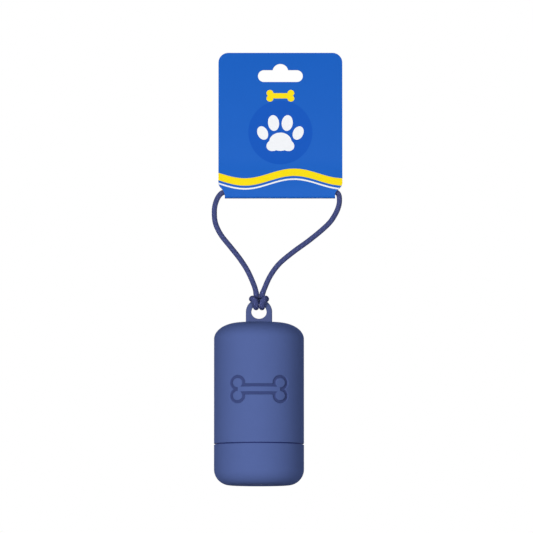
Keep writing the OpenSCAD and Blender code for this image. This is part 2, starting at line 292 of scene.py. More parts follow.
class Effects:
    """Shader groups that several finishes share, each built once."""

    made: dict[str, bpy.types.NodeTree] = {}

    @classmethod
    def group(cls, name: str, inputs: dict[str, tuple[str, object]], outputs: dict[str, str],
              wire: Callable[[Graph, dict], dict]) -> bpy.types.NodeTree:
        """Makes a shader group, or finds it if it is there.

        Args:
            name: The group's name.
            inputs: Socket type and default of each input.
            outputs: Socket type of each output.
            wire: Builds the inside from the inputs' sockets and returns what each output takes.

        Returns:
            The group.
        """
        if name in cls.made:
            return cls.made[name]
        tree = bpy.data.node_groups.new(name, "ShaderNodeTree")
        for label, (kind, default) in inputs.items():
            socket = tree.interface.new_socket(name=label, in_out="INPUT", socket_type="NodeSocket" + kind)
            if default is not None:
                socket.default_value = default
        for label, kind in outputs.items():
            tree.interface.new_socket(name=label, in_out="OUTPUT", socket_type="NodeSocket" + kind)
        graph = Graph(tree)
        entry, leave = tree.nodes.new("NodeGroupInput"), tree.nodes.new("NodeGroupOutput")
        results = wire(graph, {label: entry.outputs[label] for label in inputs})
        for label, value in results.items():
            graph.feed(leave.inputs[label], value)
        cls.made[name] = tree
        return tree

    @classmethod
    def mottle(cls) -> bpy.types.NodeTree:
        """Uneven tone: a colour that wanders a little lighter and darker, in large and small patches.

        Returns:
            The group.
        """
        def wire(g: Graph, a: dict) -> dict:
            """Lays a broad and a fine noise over each other.

            Args:
                g: The group's graph.
                a: The sockets of its inputs.

            Returns:
                What each output takes.
            """
            broad = g.noise(a["Vector"], g.math("DIVIDE", 1.0, a["Patch"]), 2.0)
            fine = g.noise(a["Vector"], g.math("DIVIDE", 6.0, a["Patch"]), 3.0, 0.6)
            both = g.math("ADD", g.math("MULTIPLY", broad, 0.65), g.math("MULTIPLY", fine, 0.35))
            reach = g.math("MULTIPLY", a["Amount"], 2.0)
            tone = g.math("MULTIPLY_ADD", g.math("SUBTRACT", both, 0.5), reach, 1.0)
            return {"Color": g.mix(1.0, a["Color"], tone, "MULTIPLY"), "Patches": both}
        return cls.group(
            "mottle", {"Vector": ("Vector", None), "Color": ("Color", (0.5, 0.5, 0.5, 1)),
                       "Patch": ("Float", 8.0), "Amount": ("Float", 0.1)},
            {"Color": "Color", "Patches": "Float"}, wire)

    @classmethod
    def grain(cls) -> bpy.types.NodeTree:
        """Fine pebbled skin, as of a spark-eroded mould: a height and a roughness that follows it.

        Returns:
            The group.
        """
        def wire(g: Graph, a: dict) -> dict:
            """Adds pits to a fine noise.

            Args:
                g: The group's graph.
                a: The sockets of its inputs.

            Returns:
                What each output takes.
            """
            fine = g.noise(a["Vector"], g.math("DIVIDE", 1.0, a["Size"]), 2.0, 0.6)
            cells = g.add("TexVoronoi", feature="SMOOTH_F1")
            g.feed(cells.inputs["Vector"], a["Vector"])
            g.feed(cells.inputs["Scale"], g.math("DIVIDE", 0.8, a["Size"]))
            height = g.math("MULTIPLY_ADD", cells.outputs["Distance"], 0.5, g.math("MULTIPLY", fine, 0.5))
            rough = g.math("MULTIPLY_ADD", g.math("SUBTRACT", fine, 0.5), a["Spread"], a["Roughness"])
            return {"Height": height, "Roughness": rough}
        return cls.group(
            "grain", {"Vector": ("Vector", None), "Size": ("Float", 0.2),
                      "Roughness": ("Float", 0.5), "Spread": ("Float", 0.1)},
            {"Height": "Float", "Roughness": "Float"}, wire)

    @classmethod
    def fibres(cls) -> bpy.types.NodeTree:
        """Short fibres of paper and board: a mask and a height of crossing streaks.

        Returns:
            The group.
        """
        def wire(g: Graph, a: dict) -> dict:
            """Crosses three stretched noises.

            Args:
                g: The group's graph.
                a: The sockets of its inputs.

            Returns:
                What each output takes.
            """
            streaks = []
            for stretch in ((1.0, 0.22, 0.22), (0.22, 1.0, 1.0), (0.5, 0.5, 0.18)):
                mapping = g.add("Mapping")
                mapping.inputs["Scale"].default_value = stretch
                g.feed(mapping.inputs["Vector"], a["Vector"])
                streaks.append(g.noise(mapping.outputs[0], g.math("DIVIDE", 1.0, a["Size"]), 3.0, 0.65))
            top = g.math("MAXIMUM", g.math("MAXIMUM", streaks[0], streaks[1]), streaks[2])
            return {"Height": top, "Mask": g.remap(top, 0.6, 0.72)}
        return cls.group("fibres", {"Vector": ("Vector", None), "Size": ("Float", 0.3)},
                         {"Height": "Float", "Mask": "Float"}, wire)

    @classmethod
    def ellipse(cls) -> bpy.types.NodeTree:
        """A filled ellipse in the card's plane, turned about its own middle, in millimetres.

        Returns:
            The group.
        """
        def wire(g: Graph, a: dict) -> dict:
            """Measures how far a point lies out of the ellipse.

            Args:
                g: The group's graph.
                a: The sockets of its inputs.

            Returns:
                What each output takes.
            """
            turn = g.add("VectorRotate", rotation_type="AXIS_ANGLE")
            turn.inputs["Axis"].default_value = (0, 1, 0)
            g.feed(turn.inputs["Vector"], g.vector("SUBTRACT", a["Vector"], a["Centre"]).outputs[0])
            g.feed(turn.inputs["Angle"], a["Turn"])
            scaled = g.vector("DIVIDE", turn.outputs[0], a["Radii"])
            level = g.vector("MULTIPLY", scaled.outputs[0], (1, 0, 1))
            far = g.vector("LENGTH", level.outputs[0]).outputs["Value"]
            return {"Mask": g.remap(far, 0.985, 1.015, 1.0, 0.0, True)}
        return cls.group(
            "ellipse", {"Vector": ("Vector", None), "Centre": ("Vector", (0, 0, 0)),
                        "Radii": ("Vector", (1, 1, 1)), "Turn": ("Float", 0.0)},
            {"Mask": "Float"}, wire)

    @classmethod
    def braid(cls) -> bpy.types.NodeTree:
        """Round braid on a UV map: strands that run round both ways and pass over and under each other.

        Returns:
            The group.
        """
        def wire(g: Graph, a: dict) -> dict:
            """Shows one family of strands in every other cell and the other family between.

            Args:
                g: The group's graph.
                a: The sockets of its inputs.

            Returns:
                What each output takes.
            """
            parts = g.split(a["Vector"])
            rounds = g.math("MULTIPLY", parts.outputs["X"], a["Strands"])
            along = g.math("MULTIPLY", parts.outputs["Y"], a["Strands"])
            one, two = g.math("ADD", rounds, along), g.math("SUBTRACT", rounds, along)
            waves = [g.math("SINE", g.math("MULTIPLY", x, math.pi)) for x in (one, two)]
            first = g.math("GREATER_THAN", g.math("MULTIPLY", *waves), 0.0)
            second = g.math("SUBTRACT", 1.0, first)
            sizes = [g.math("ABSOLUTE", w) for w in waves]
            runs = [g.math("POWER", s, 0.4) for s in sizes]
            over, under = g.math("MULTIPLY", sizes[0], runs[1]), g.math("MULTIPLY", sizes[1], runs[0])
            height = g.math("ADD", g.math("MULTIPLY", over, first), g.math("MULTIPLY", under, second))
            marked = g.math("LESS_THAN", g.math("FLOORED_MODULO", g.math("FLOOR", one), 4.0), 1.0)
            filament = g.add("TexWave", wave_type="BANDS", bands_direction="X", wave_profile="SIN")
            filament.inputs["Scale"].default_value = 1.0
            combined = g.add("CombineXYZ")
            lane = g.math("ADD", g.math("MULTIPLY", one, first), g.math("MULTIPLY", two, second))
            g.feed(combined.inputs["X"], g.math("MULTIPLY", lane, 1.2))
            g.feed(filament.inputs["Vector"], combined.outputs[0])
            fine = g.math("MULTIPLY_ADD", filament.outputs["Fac"], 0.22, g.math("MULTIPLY", height, 0.78))
            return {"Height": fine, "Marked": g.math("MULTIPLY", marked, first)}
        return cls.group("braid", {"Vector": ("Vector", None), "Strands": ("Float", 12.0)},
                         {"Height": "Float", "Marked": "Float"}, wire)

    @classmethod
    def creases(cls) -> bpy.types.NodeTree:
        """Creases of thin film: the height of its folds, with sharp valleys between.

        Returns:
            The group.
        """
        def wire(g: Graph, a: dict) -> dict:
            """Folds a warped noise at its middle.

            Args:
                g: The group's graph.
                a: The sockets of its inputs.

            Returns:
                What each output takes.
            """
            warp = g.noise(a["Vector"], g.math("DIVIDE", 0.7, a["Size"]), 2.0)
            moved = g.vector("ADD", a["Vector"], g.math("MULTIPLY", warp, a["Size"])).outputs[0]
            broad = g.noise(moved, g.math("DIVIDE", 1.0, a["Size"]), 3.0, 0.45)
            folded = g.math("ABSOLUTE", g.math("SUBTRACT", broad, 0.5))
            return {"Height": g.remap(folded, 0.0, 0.14)}
        return cls.group("creases", {"Vector": ("Vector", None), "Size": ("Float", 4.0)},
                         {"Height": "Float"}, wire)


# ---- Finishes ----


@dataclass(frozen=True)
class Finish:
    """One material. A subclass says in dress() what its shader takes."""

    name: str

    def material(self) -> bpy.types.Material:
        """Makes the Blender material, or finds it if it is there.

        Returns:
            The material.
        """
        found = bpy.data.materials.get(self.name)
        if found is not None:
            return found
        material = bpy.data.materials.new(self.name)
        material.use_nodes = True
        graph = Graph(material.node_tree)
        shader = material.node_tree.nodes["Principled BSDF"]
        for socket, value in self.dress(graph).items():
            graph.feed(shader.inputs[socket], value)
        return material

    def dress(self, g: Graph) -> dict[str, object]:
        """Wires the pattern.

        Args:
            g: The material's graph.

        Returns:
            The value or socket that each of the shader's inputs takes.
        """
        raise NotImplementedError


@dataclass(frozen=True)
class SoftTouchPlastic(Finish):
    """Moulded plastic with a soft, dull skin, with painted shade that greys and darkens the tab.

    The mesh attribute pressed marks the pressed line. The mould left this line glossier, and its colour is
    darkened with painted shade.
    """

    body: Colour = paint(85, 103, 160)
    # Colour of the pressed line: darker as painted shade in the recess, beside its real gloss.
    polished_and_shaded: Colour = paint(63, 75, 125)
    # Painted shade on the tab: its colour, the height in mm where it starts, and the distance over which it
    # blends in.
    tab_shade: Colour = paint(84, 96, 143)
    tab_shade_z: float = -115.6
    tab_shade_way: float = 0.8
    roughness: float = 0.86
    shinier: float = 0.2
    specular: float = 0.03
    relief: float = 0.012 * MM

    def dress(self, g: Graph) -> dict[str, object]:
        """Grains the skin, greys the tab with painted shade, and darkens the pressed line with painted shade
        where the mould made it glossier.

        Args:
            g: The material's graph.

        Returns:
            The value or socket that each of the shader's inputs takes.
        """
        place = g.in_mm()
        tone = g.use(Effects.mottle(), Vector=place, Color=self.body, Patch=22.0, Amount=0.05)
        skin = g.use(Effects.grain(), Vector=place, Size=0.11, Roughness=self.roughness, Spread=0.1)
        # Painted shade: the pressed line's colour is darkened. Its lower roughness is real gloss.
        pressed = g.add("Attribute", attribute_name="pressed").outputs["Fac"]
        # Painted shade: from a little above the dome's top, the tab takes a greyer, darker colour.
        tab_shaded = g.remap(g.split(place).outputs["Z"], self.tab_shade_z, self.tab_shade_z + self.tab_shade_way)
        skin_tone = g.mix(tab_shaded, tone.outputs["Color"], self.tab_shade)
        shine = g.math("MULTIPLY", pressed, self.shinier)
        return {
            "Base Color": g.mix(pressed, skin_tone, self.polished_and_shaded),
            "Roughness": g.math("SUBTRACT", skin.outputs["Roughness"], shine),
            "Specular IOR Level": self.specular,
            "Normal": g.bump(skin.outputs["Height"], self.relief),
        }


@dataclass(frozen=True)
class BraidedPolyester(Finish):
    """Round braid of polyester yarn, read from the cord's own UV map."""

    yarn: Colour = paint(84, 93, 146)
    light_yarn: Colour = paint(106, 115, 176)
    # Painted shade: colour of the grooves between the yarns.
    groove_shade: Colour = paint(18, 21, 62)
    strands: float = 12.0
    specular: float = 0.02
    relief: float = 0.09 * MM

    def dress(self, g: Graph) -> dict[str, object]:
        """Colours the yarns, marks the lighter ones and paints shade into the grooves between them.

        Args:
            g: The material's graph.

        Returns:
            The value or socket that each of the shader's inputs takes.
        """
        lay = g.add("UVMap", uv_map="lay").outputs[0]
        weave = g.use(Effects.braid(), Vector=lay, Strands=self.strands)
        tone = g.use(Effects.mottle(), Vector=g.in_mm(), Color=self.yarn, Patch=5.0, Amount=0.09)
        yarns = g.mix(weave.outputs["Marked"], tone.outputs["Color"], self.light_yarn)
        height = weave.outputs["Height"]
        # Painted shade: the base colour goes dark where the braid's height is low, in the grooves.
        return {
            "Base Color": g.mix(g.remap(height, 0.05, 0.5), self.groove_shade, yarns),
            "Roughness": g.remap(height, 0.0, 1.0, 0.9, 0.7),
            "Specular IOR Level": self.specular,
            "Normal": g.bump(height, self.relief),
        }


class PrintSide(Enum):
    """Which side of the card a print is for."""

    FRONT = "front"
    BACK = "back"


@dataclass(frozen=True)
class Blot:
    """One ellipse of a printed motif, in millimetres from the motif's middle."""

    x: float
    z: float
    across: float
    up: float
    turn: float = 0.0


PAW = (
    Blot(0, -4.4, 5.2, 4.3), Blot(-3.3, -6.0, 3.3, 2.7, 24), Blot(3.3, -6.0, 3.3, 2.7, -24),
    Blot(-8.3, -0.3, 2.4, 3.3, 26), Blot(8.3, -0.3, 2.4, 3.3, -26),
    Blot(-3.2, 4.4, 2.6, 3.7, 7), Blot(3.2, 4.4, 2.6, 3.7, -7),
)
BONE = (
    Blot(-4.9, 1.25, 1.6, 1.5), Blot(-4.9, -1.25, 1.6, 1.5),
    Blot(4.9, 1.25, 1.6, 1.5), Blot(4.9, -1.25, 1.6, 1.5),
)


@dataclass(frozen=True)
class PrintedBoard(Finish):
    """Satin-varnished print on board: a paw on a disc over a wave, or plain dots on the back."""

    side: PrintSide = PrintSide.FRONT
    ground_top: Colour = paint(8, 93, 192)
    ground_low: Colour = paint(27, 100, 199)
    deep: Colour = paint(4, 86, 190)
    sun: Colour = paint(255, 228, 12)
    white: Colour = paint(246, 248, 252)
    wave_z: float = -47.6
    wave_rise: float = 2.3
    wave_length: float = 46.0
    wave_turn: float = 0.7
    wave_half: float = 1.75
    line_drop: float = 1.5
    line_half: float = 0.365
    paw_z: float = -26.5
    disc_r: float = 15.0
    bone_z: float = -9.3
    shaft_half: Flat = (5.0, 1.25)
    dots_per_mm: float = 0.16
    specular: float = 0.12
    relief: float = 0.01 * MM

    def blots(self, g: Graph, place: bpy.types.NodeSocket, motif: Sequence[Blot],
              z: float) -> bpy.types.NodeSocket:
        """Joins the ellipses of a motif in the middle of the card into one mask.

        Args:
            g: The material's graph.
            place: The vector that it is read at, in millimetres.
            motif: The ellipses.
            z: The motif's middle up the card.

        Returns:
            The mask's socket.
        """
        masks = []
        for blot in motif:
            node = g.use(Effects.ellipse(), Vector=place, Centre=(blot.x, 0, z + blot.z),
                         Radii=(blot.across, 1, blot.up), Turn=math.radians(blot.turn))
            masks.append(node.outputs[0])
        return functools.reduce(lambda one, other: g.math("MAXIMUM", one, other), masks)

    def shaft(self, g: Graph, parts: bpy.types.Node) -> bpy.types.NodeSocket:
        """The straight part of the bone.

        Args:
            g: The material's graph.
            parts: Separate XYZ node of the place in millimetres.

        Returns:
            The mask's socket.
        """
        half_l, half_h = self.shaft_half
        across = g.math("DIVIDE", g.math("ABSOLUTE", parts.outputs["X"]), half_l)
        up = g.math("DIVIDE", g.math("ABSOLUTE", g.math("SUBTRACT", parts.outputs["Z"], self.bone_z)), half_h)
        return g.remap(g.math("MAXIMUM", across, up), 0.97, 1.03, 1.0, 0.0)

    def dress(self, g: Graph) -> dict[str, object]:
        """Prints the ground, the motifs of the front or the dots of the back, and the band with its line.

        Args:
            g: The material's graph.

        Returns:
            The value or socket that each of the shader's inputs takes.
        """
        place = g.in_mm()
        parts = g.split(place)
        colour = g.mix(g.remap(parts.outputs["Z"], 10.0, -57.0), self.ground_top, self.ground_low)
        if self.side is PrintSide.FRONT:
            disc = self.blots(g, place, [Blot(0, 0, self.disc_r, self.disc_r)], self.paw_z)
            colour = g.mix(disc, colour, self.deep)
            colour = g.mix(self.blots(g, place, PAW, self.paw_z), colour, self.white)
            bone = g.math("MAXIMUM", self.blots(g, place, BONE, self.bone_z), self.shaft(g, parts))
            colour = g.mix(bone, colour, self.sun)
        else:
            dots = g.add("TexVoronoi", feature="F1")
            g.feed(dots.inputs["Vector"], g.vector("MULTIPLY", place, (1, 0, 1)).outputs[0])
            g.feed(dots.inputs["Scale"], self.dots_per_mm)
            g.feed(dots.inputs["Randomness"], 0.0)
            colour = g.mix(g.remap(dots.outputs["Distance"], 0.155, 0.175, 1.0, 0.0), colour, self.deep)
        across = g.math("MULTIPLY_ADD", parts.outputs["X"], math.tau / self.wave_length, self.wave_turn)
        wave = g.math("MULTIPLY_ADD", g.math("SINE", across), self.wave_rise, self.wave_z)
        over = g.math("SUBTRACT", parts.outputs["Z"], wave)
        band = g.remap(g.math("ABSOLUTE", over), self.wave_half - 0.05, self.wave_half + 0.05, 1.0, 0.0)
        colour = g.mix(band, colour, self.sun)
        line = g.math("ABSOLUTE", g.math("ADD", over, self.wave_half + self.line_drop))
        drawn = g.remap(line, self.line_half - 0.035, self.line_half + 0.035, 1.0, 0.0)
        colour = g.mix(drawn, colour, self.white)
        paper = g.use(Effects.fibres(), Vector=place, Size=0.5)
        tone = g.use(Effects.mottle(), Vector=place, Color=colour, Patch=12.0, Amount=0.025)
        return {
            "Base Color": tone.outputs["Color"],
            "Roughness": g.patchy(tone, 0.4, 0.5),
            "Specular IOR Level": self.specular,
            "Normal": g.bump(paper.outputs["Height"], self.relief),
        }


@dataclass(frozen=True)
class BareBoard(Finish):
    """Unprinted board: the inside of the card, its cut edges, or the grey core of a roll."""

    colour: Colour = paint(236, 235, 230)
    fibre: Colour = paint(206, 203, 196)
    size: float = 0.35
    roughness: float = 0.85
    seam_lead: float = 0.0
    seam_dark: float = 0.45
    centre: Point = (0.0, 0.0, 0.0)
    specular: float = 0.2

    def dress(self, g: Graph) -> dict[str, object]:
        """Lays fibres over the board, and the seam of a wound core where it has one.

        Args:
            g: The material's graph.

        Returns:
            The value or socket that each of the shader's inputs takes.
        """
        place = g.in_mm(centre=self.centre)
        fibres = g.use(Effects.fibres(), Vector=place, Size=self.size)
        tone = g.use(Effects.mottle(), Vector=place, Color=self.colour, Patch=6.0, Amount=0.07)
        colour = g.mix(fibres.outputs["Mask"], tone.outputs["Color"], self.fibre)
        normal = g.bump(fibres.outputs["Height"], 0.02 * MM)
        if self.seam_lead:
            parts = g.split(place)
            turn = g.math("DIVIDE", g.math("ARCTAN2", parts.outputs["Y"], parts.outputs["X"]), math.tau)
            lane = g.math("FRACT", g.math("ADD", g.math("DIVIDE", parts.outputs["Z"], self.seam_lead), turn))
            seam = g.remap(g.math("ABSOLUTE", g.math("SUBTRACT", lane, 0.5)), 0.005, 0.018)
            dark = (*[c * self.seam_dark for c in self.colour[:3]], 1.0)
            colour = g.mix(g.math("SUBTRACT", 1.0, seam), colour, dark)
            normal = g.bump(seam, 0.08 * MM, normal)
        return {
            "Base Color": colour,
            "Roughness": g.patchy(tone, self.roughness - 0.04, self.roughness + 0.06),
            "Specular IOR Level": self.specular,
            "Normal": normal,
        }


@dataclass(frozen=True)
class DullRubber(Finish):
    """Dark, slightly dusty rubber or shrunk tube."""

    colour: Colour
    roughness: float = 0.6
    grain: float = 0.1
    specular: float = 0.3

    def dress(self, g: Graph) -> dict[str, object]:
        """Gives it a fine grain and an uneven, dusty tone.

        Args:
            g: The material's graph.

        Returns:
            The value or socket that each of the shader's inputs takes.
        """
        place = g.in_mm()
        tone = g.use(Effects.mottle(), Vector=place, Color=self.colour, Patch=3.0, Amount=0.18)
        skin = g.use(Effects.grain(), Vector=place, Size=self.grain, Roughness=self.roughness, Spread=0.14)
        return {
            "Base Color": tone.outputs["Color"],
            "Roughness": skin.outputs["Roughness"],
            "Specular IOR Level": self.specular,
            "Normal": g.bump(skin.outputs["Height"], 0.01 * MM),
        }


@dataclass(frozen=True)
class DriedGlue(Finish):
    """Thin dried glue, uneven where the roller laid it."""

    colour: Colour = paint(222, 220, 206)

    def dress(self, g: Graph) -> dict[str, object]:
        """Streaks the glue up and down the card.

        Args:
            g: The material's graph.

        Returns:
            The value or socket that each of the shader's inputs takes.
        """
        place = g.in_mm(stretch=(1, 1, 0.3))
        tone = g.use(Effects.mottle(), Vector=place, Color=self.colour, Patch=3.0, Amount=0.12)
        return {
            "Base Color": tone.outputs["Color"],
            "Roughness": g.patchy(tone, 0.2, 0.5),
            "Normal": g.bump(tone.outputs["Patches"], 0.03 * MM),
        }


@dataclass(frozen=True)
class BagFilm(Finish):
    """Thin blown film of the bags, wound under tension, with creases along the roll."""

    colour: Colour = paint(70, 118, 192)
    # Painted shade: colour of the crease valleys.
    fold: Colour = paint(48, 88, 160)
    specular: float = 0.45

    def dress(self, g: Graph) -> dict[str, object]:
        """Creases the film and darkens the crease valleys with painted shade, so what stands proud of them
        stays lighter.

        Args:
            g: The material's graph.

        Returns:
            The value or socket that each of the shader's inputs takes.
        """
        place = g.in_mm(stretch=(1, 1, 0.25))
        folds = g.use(Effects.creases(), Vector=place, Size=5.0)
        tone = g.use(Effects.mottle(), Vector=place, Color=self.colour, Patch=4.0, Amount=0.1)
        # Painted shade: the base colour darkens in the crease valleys.
        return {
            "Base Color": g.mix(folds.outputs[0], self.fold, tone.outputs["Color"]),
            "Roughness": g.patchy(tone, 0.26, 0.4),
            "Specular IOR Level": self.specular,
            "Normal": g.bump(folds.outputs[0], 0.06 * MM),
        }


@dataclass(frozen=True)
class PaleFloor(Finish):
    """Plain pale paper sweep under the object."""

    colour: Colour = (0.4, 0.4, 0.4, 1.0)
    near: Colour = (0.8, 0.8, 0.8, 1.0)
    far: Colour = (1.0, 1.0, 1.0, 1.0)
    near_mm: float = 400.0
    far_mm: float = 1200.0

    def dress(self, g: Graph) -> dict[str, object]:
        """Lifts what the camera and mirrors see of it, to white far from the object.

        Args:
            g: The material's graph.

        Returns:
            The value or socket that each of the shader's inputs takes.
        """
        place = g.in_mm()
        tone = g.use(Effects.mottle(), Vector=place, Color=self.colour, Patch=120.0, Amount=0.01)
        away = g.remap(g.vector("LENGTH", place).outputs["Value"], self.near_mm, self.far_mm, smooth=True)
        lifted = g.mix(away, self.near, self.far)
        return {
            "Base Color": tone.outputs["Color"],
            "Roughness": 0.95,
            "Specular IOR Level": 0.0,
            "Emission Color": g.mix(g.seen(), (0, 0, 0, 1), lifted),
            "Emission Strength": 1.0,
        }


# ---- Shapes ----


def arc(x: float, y: float, rx: float, ry: float, start: float, end: float, steps: int) -> list[Flat]:
    """Points on an arc of an ellipse.

    Args:
        x: First coordinate of its middle.
        y: Second coordinate of its middle.
        rx: First radius.
        ry: Second radius.
        start: Angle of the first point, in degrees.
        end: Angle of the last point.
        steps: Number of steps between them.

    Returns:
        The points.
    """
    angles = [math.radians(start + (end - start) * i / steps) for i in range(steps + 1)]
    return [(x + rx * math.cos(a), y + ry * math.sin(a)) for a in angles]


def ease(share: float) -> float:
    """Smooth way from 0 to 1, clamped."""
    share = min(1.0, max(0.0, share))
    return share * share * (3 - 2 * share)


def turned(bm: bmesh.types.BMesh, profile: Sequence[Flat], steps: int, closed: bool = False,
           start: float = 0.0, sweep: float = math.tau, climb: float = 0.0) -> list[bmesh.types.BMVert]:
    """Spins a profile of radius and height round the Z axis.

    Args:
        bm: The mesh that it goes into.
        profile: The points.
        steps: Number of steps round.
        closed: Whether the last point joins the first.
        start: Angle that it starts at, in radians.
        sweep: Angle that it goes round, in radians.
        climb: How far it rises on the way.

    Returns:
        The new vertices.
    """
    before = set(bm.verts)
    verts = [bm.verts.new((r * math.cos(start), r * math.sin(start), z)) for r, z in profile]
    ends = verts[1:] + (verts[:1] if closed else [])
    edges = [bm.edges.new(pair) for pair in zip(verts, ends)]
    full = abs(sweep - math.tau) < MERGE and climb == 0
    bmesh.ops.spin(bm, geom=verts + edges, cent=(0, 0, 0), axis=(0, 0, 1), dvec=(0, 0, climb / steps),
                   angle=sweep, steps=steps, use_merge=full)
    return [v for v in bm.verts if v not in before]


def sheet_of(bm: bmesh.types.BMesh, columns: int, rows: int,
             place: Callable[[float, float], Sequence[float]],
             uv: Callable[[float, float], Flat] | None = None) -> None:
    """Lays a grid and bends it to its place.

    Args:
        bm: The mesh that it goes into.
        columns: Number of faces one way.
        rows: Number of faces the other way.
        place: Gives the point for a share of each way.
        uv: Gives the UV for a share of each way.
    """
    made = bmesh.ops.create_grid(bm, x_segments=columns, y_segments=rows, size=1.0)["verts"]
    shares = {v: ((v.co.x + 1) / 2, (v.co.y + 1) / 2) for v in made}
    if uv is not None:
        layer = bm.loops.layers.uv.verify()
        for f in {f for v in made for f in v.link_faces}:
            for loop in f.loops:
                loop[layer].uv = uv(*shares[loop.vert])
    for v in made:
        v.co = place(*shares[v])


def closed_up(bm: bmesh.types.BMesh, dist: float = MERGE) -> None:
    """Merges doubles, fills open ends and turns the faces outwards.

    Args:
        bm: The mesh.
        dist: How far apart doubles may lie.
    """
    bmesh.ops.remove_doubles(bm, verts=bm.verts, dist=dist)
    open_edges = [e for e in bm.edges if e.is_boundary]
    if open_edges:
        bmesh.ops.holes_fill(bm, edges=open_edges, sides=0)
    bmesh.ops.recalc_face_normals(bm, faces=bm.faces)


def absorb(bm: bmesh.types.BMesh, other: bmesh.types.BMesh) -> None:
    """Adds a finished shell to a mesh.

    Args:
        bm: The mesh that it goes into.
        other: The shell, which is freed.
    """
    mesh = bpy.data.meshes.new("shell")
    other.to_mesh(mesh)
    other.free()
    bm.from_mesh(mesh)
    bpy.data.meshes.remove(mesh)


def only(made: Sequence[object], kind: type) -> list:
    """Picks the elements of one kind from what an operator made."""
    return [element for element in made if isinstance(element, kind)]


def mirrored(low: Sequence[Flat]) -> list[Flat]:
    """Adds the same points, turned upside down, to the lower half of a profile."""
    return [*low, *((r, -z) for r, z in reversed(low))]


def rounded(bm: bmesh.types.BMesh, edges: Sequence[bmesh.types.BMEdge], radius: float, steps: int) -> None:
    """Rounds edges of a mesh over in so many steps."""
    bmesh.ops.bevel(bm, geom=edges, offset=radius, segments=steps, profile=0.5, affect="EDGES", material=-1)


def piece(bm: bmesh.types.BMesh, name: str, finishes: Sequence[Finish], body: str = "", slot: str = "",
          stands_for: Sequence[str] = (), crease: float = SHARP_DEG) -> bpy.types.Object:
    """Makes an object of a mesh, and puts it on its body.

    Args:
        bm: The mesh, which is freed.
        name: The object's name.
        finishes: Its finishes, in the order of the faces' material index.
        body: The body that it rides on, or nothing to leave it on none, as for the cord and the floor.
        slot: The record's material slot; not used.
        stands_for: CAD nodes that it replaces.
        crease: Angle in degrees past which an edge is sharp.

    Returns:
        The object.
    """
    mesh = bpy.data.meshes.new(name)
    bm.to_mesh(mesh)
    bm.free()
    for finish in finishes:
        mesh.materials.append(finish.material())
    mesh.polygons.foreach_set("use_smooth", [True] * len(mesh.polygons))
    mesh.set_sharp_from_angle(angle=math.radians(crease))
    obj = bpy.data.objects.new(name, mesh)
    bpy.context.scene.collection.objects.link(obj)
    if body:
        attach(obj, body)
    if stands_for:
        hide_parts(*stands_for)
    log.info("%s: %d faces", name, len(mesh.polygons))
    return obj


def settle(obj: bpy.types.Object) -> None:
    """Applies an object's modifiers, then marks its sharp edges anew.

    Args:
        obj: The object.
    """
    bpy.context.view_layer.update()
    finished = bpy.data.meshes.new_from_object(obj.evaluated_get(bpy.context.evaluated_depsgraph_get()))
    finished.name = obj.name
    obj.modifiers.clear()
    obj.data = finished
    finished.set_sharp_from_angle(angle=math.radians(SHARP_DEG))


# ---- Studio ----


@dataclass(frozen=True)
class Lamp:
    """Square soft lamp, in metres and watts. One that doesn't shine isn't mirrored by glossy surfaces."""

    name: str
    place: Point
    size: float
    power: float
    shines: bool = True


@dataclass
class Studio:
    """White world, pale floor, soft lamps and the camera."""

    aim: Point = (-0.0065, 0.0, -0.0894)
    eye: Point = (-0.0065, -3.0, -0.300)
    view_width: float = 0.24915
    sensor: float = 36.0
    clip: Flat = (0.05, 50.0)
    fill: float = 0.03
    floor_z: float = -0.36
    floor_half: float = 1.3
    lamps: tuple[Lamp, ...] = (
        Lamp("key", (-1.13, -1.71, 0.0), 0.7, 26.5),
        Lamp("second", (0.82, -1.88, 0.0), 0.7, 16.5),
        Lamp("back", (0.3, 1.9, 0.75), 1.2, 32.0, False),
    )

    def stand(self, obj: bpy.types.Object, place: Point) -> None:
        """Puts the camera or a lamp at its place and turns it to the object.

        Args:
            obj: The camera or lamp.
            place: Where it stands.
        """
        obj.location = place
        obj.rotation_euler = (Vector(self.aim) - Vector(place)).to_track_quat("-Z", "Y").to_euler()
        bpy.context.scene.collection.objects.link(obj)

    def camera(self) -> None:
        """Sets the camera in front of the object, from where it looks up a little."""
        data = bpy.data.cameras.new("camera")
        data.sensor_width = self.sensor
        distance = (Vector(self.aim) - Vector(self.eye)).length
        data.lens = self.sensor * distance / self.view_width
        data.clip_start, data.clip_end = self.clip
        obj = bpy.data.objects.new("camera", data)
        self.stand(obj, self.eye)
        bpy.context.scene.camera = obj

    def world(self) -> None:
        """Gives the object an even fill, and the view a white background."""
        world = bpy.data.worlds.new("studio")
        bpy.context.scene.world = world
        world.use_nodes = True
        g = Graph(world.node_tree)
        world.node_tree.nodes.clear()
        even, white = g.add("Background"), g.add("Background")
        for node, strength in ((even, self.fill), (white, 1.0)):
            node.inputs["Color"].default_value = (1, 1, 1, 1)
            node.inputs["Strength"].default_value = strength
        mixed = g.add("MixShader")
        for socket, value in zip(mixed.inputs, (g.seen(), even.outputs[0], white.outputs[0])):
            g.feed(socket, value)
        g.feed(g.add("OutputWorld").inputs["Surface"], mixed.outputs[0])

    def light(self, lamp: Lamp) -> None:
        """Sets up one lamp.

        Args:
            lamp: What it is like and where it stands.
        """
        data = bpy.data.lights.new(lamp.name, "AREA")
        data.shape, data.size, data.energy = "SQUARE", lamp.size, lamp.power
        obj = bpy.data.objects.new(lamp.name, data)
        obj.visible_camera, obj.visible_glossy = False, lamp.shines
        self.stand(obj, lamp.place)

    def build(self) -> None:
        """Builds the world, the lamps and the floor."""
        bpy.context.scene.view_settings.view_transform = "Standard"
        self.world()
        for lamp in self.lamps:
            self.light(lamp)
        bm = bmesh.new()
        low = Matrix.Translation((0, 0, self.floor_z))
        bmesh.ops.create_grid(bm, x_segments=1, y_segments=1, size=self.floor_half, matrix=low)
        piece(bm, "floor", [PaleFloor("pale_paper")])


# ---- Cord ----


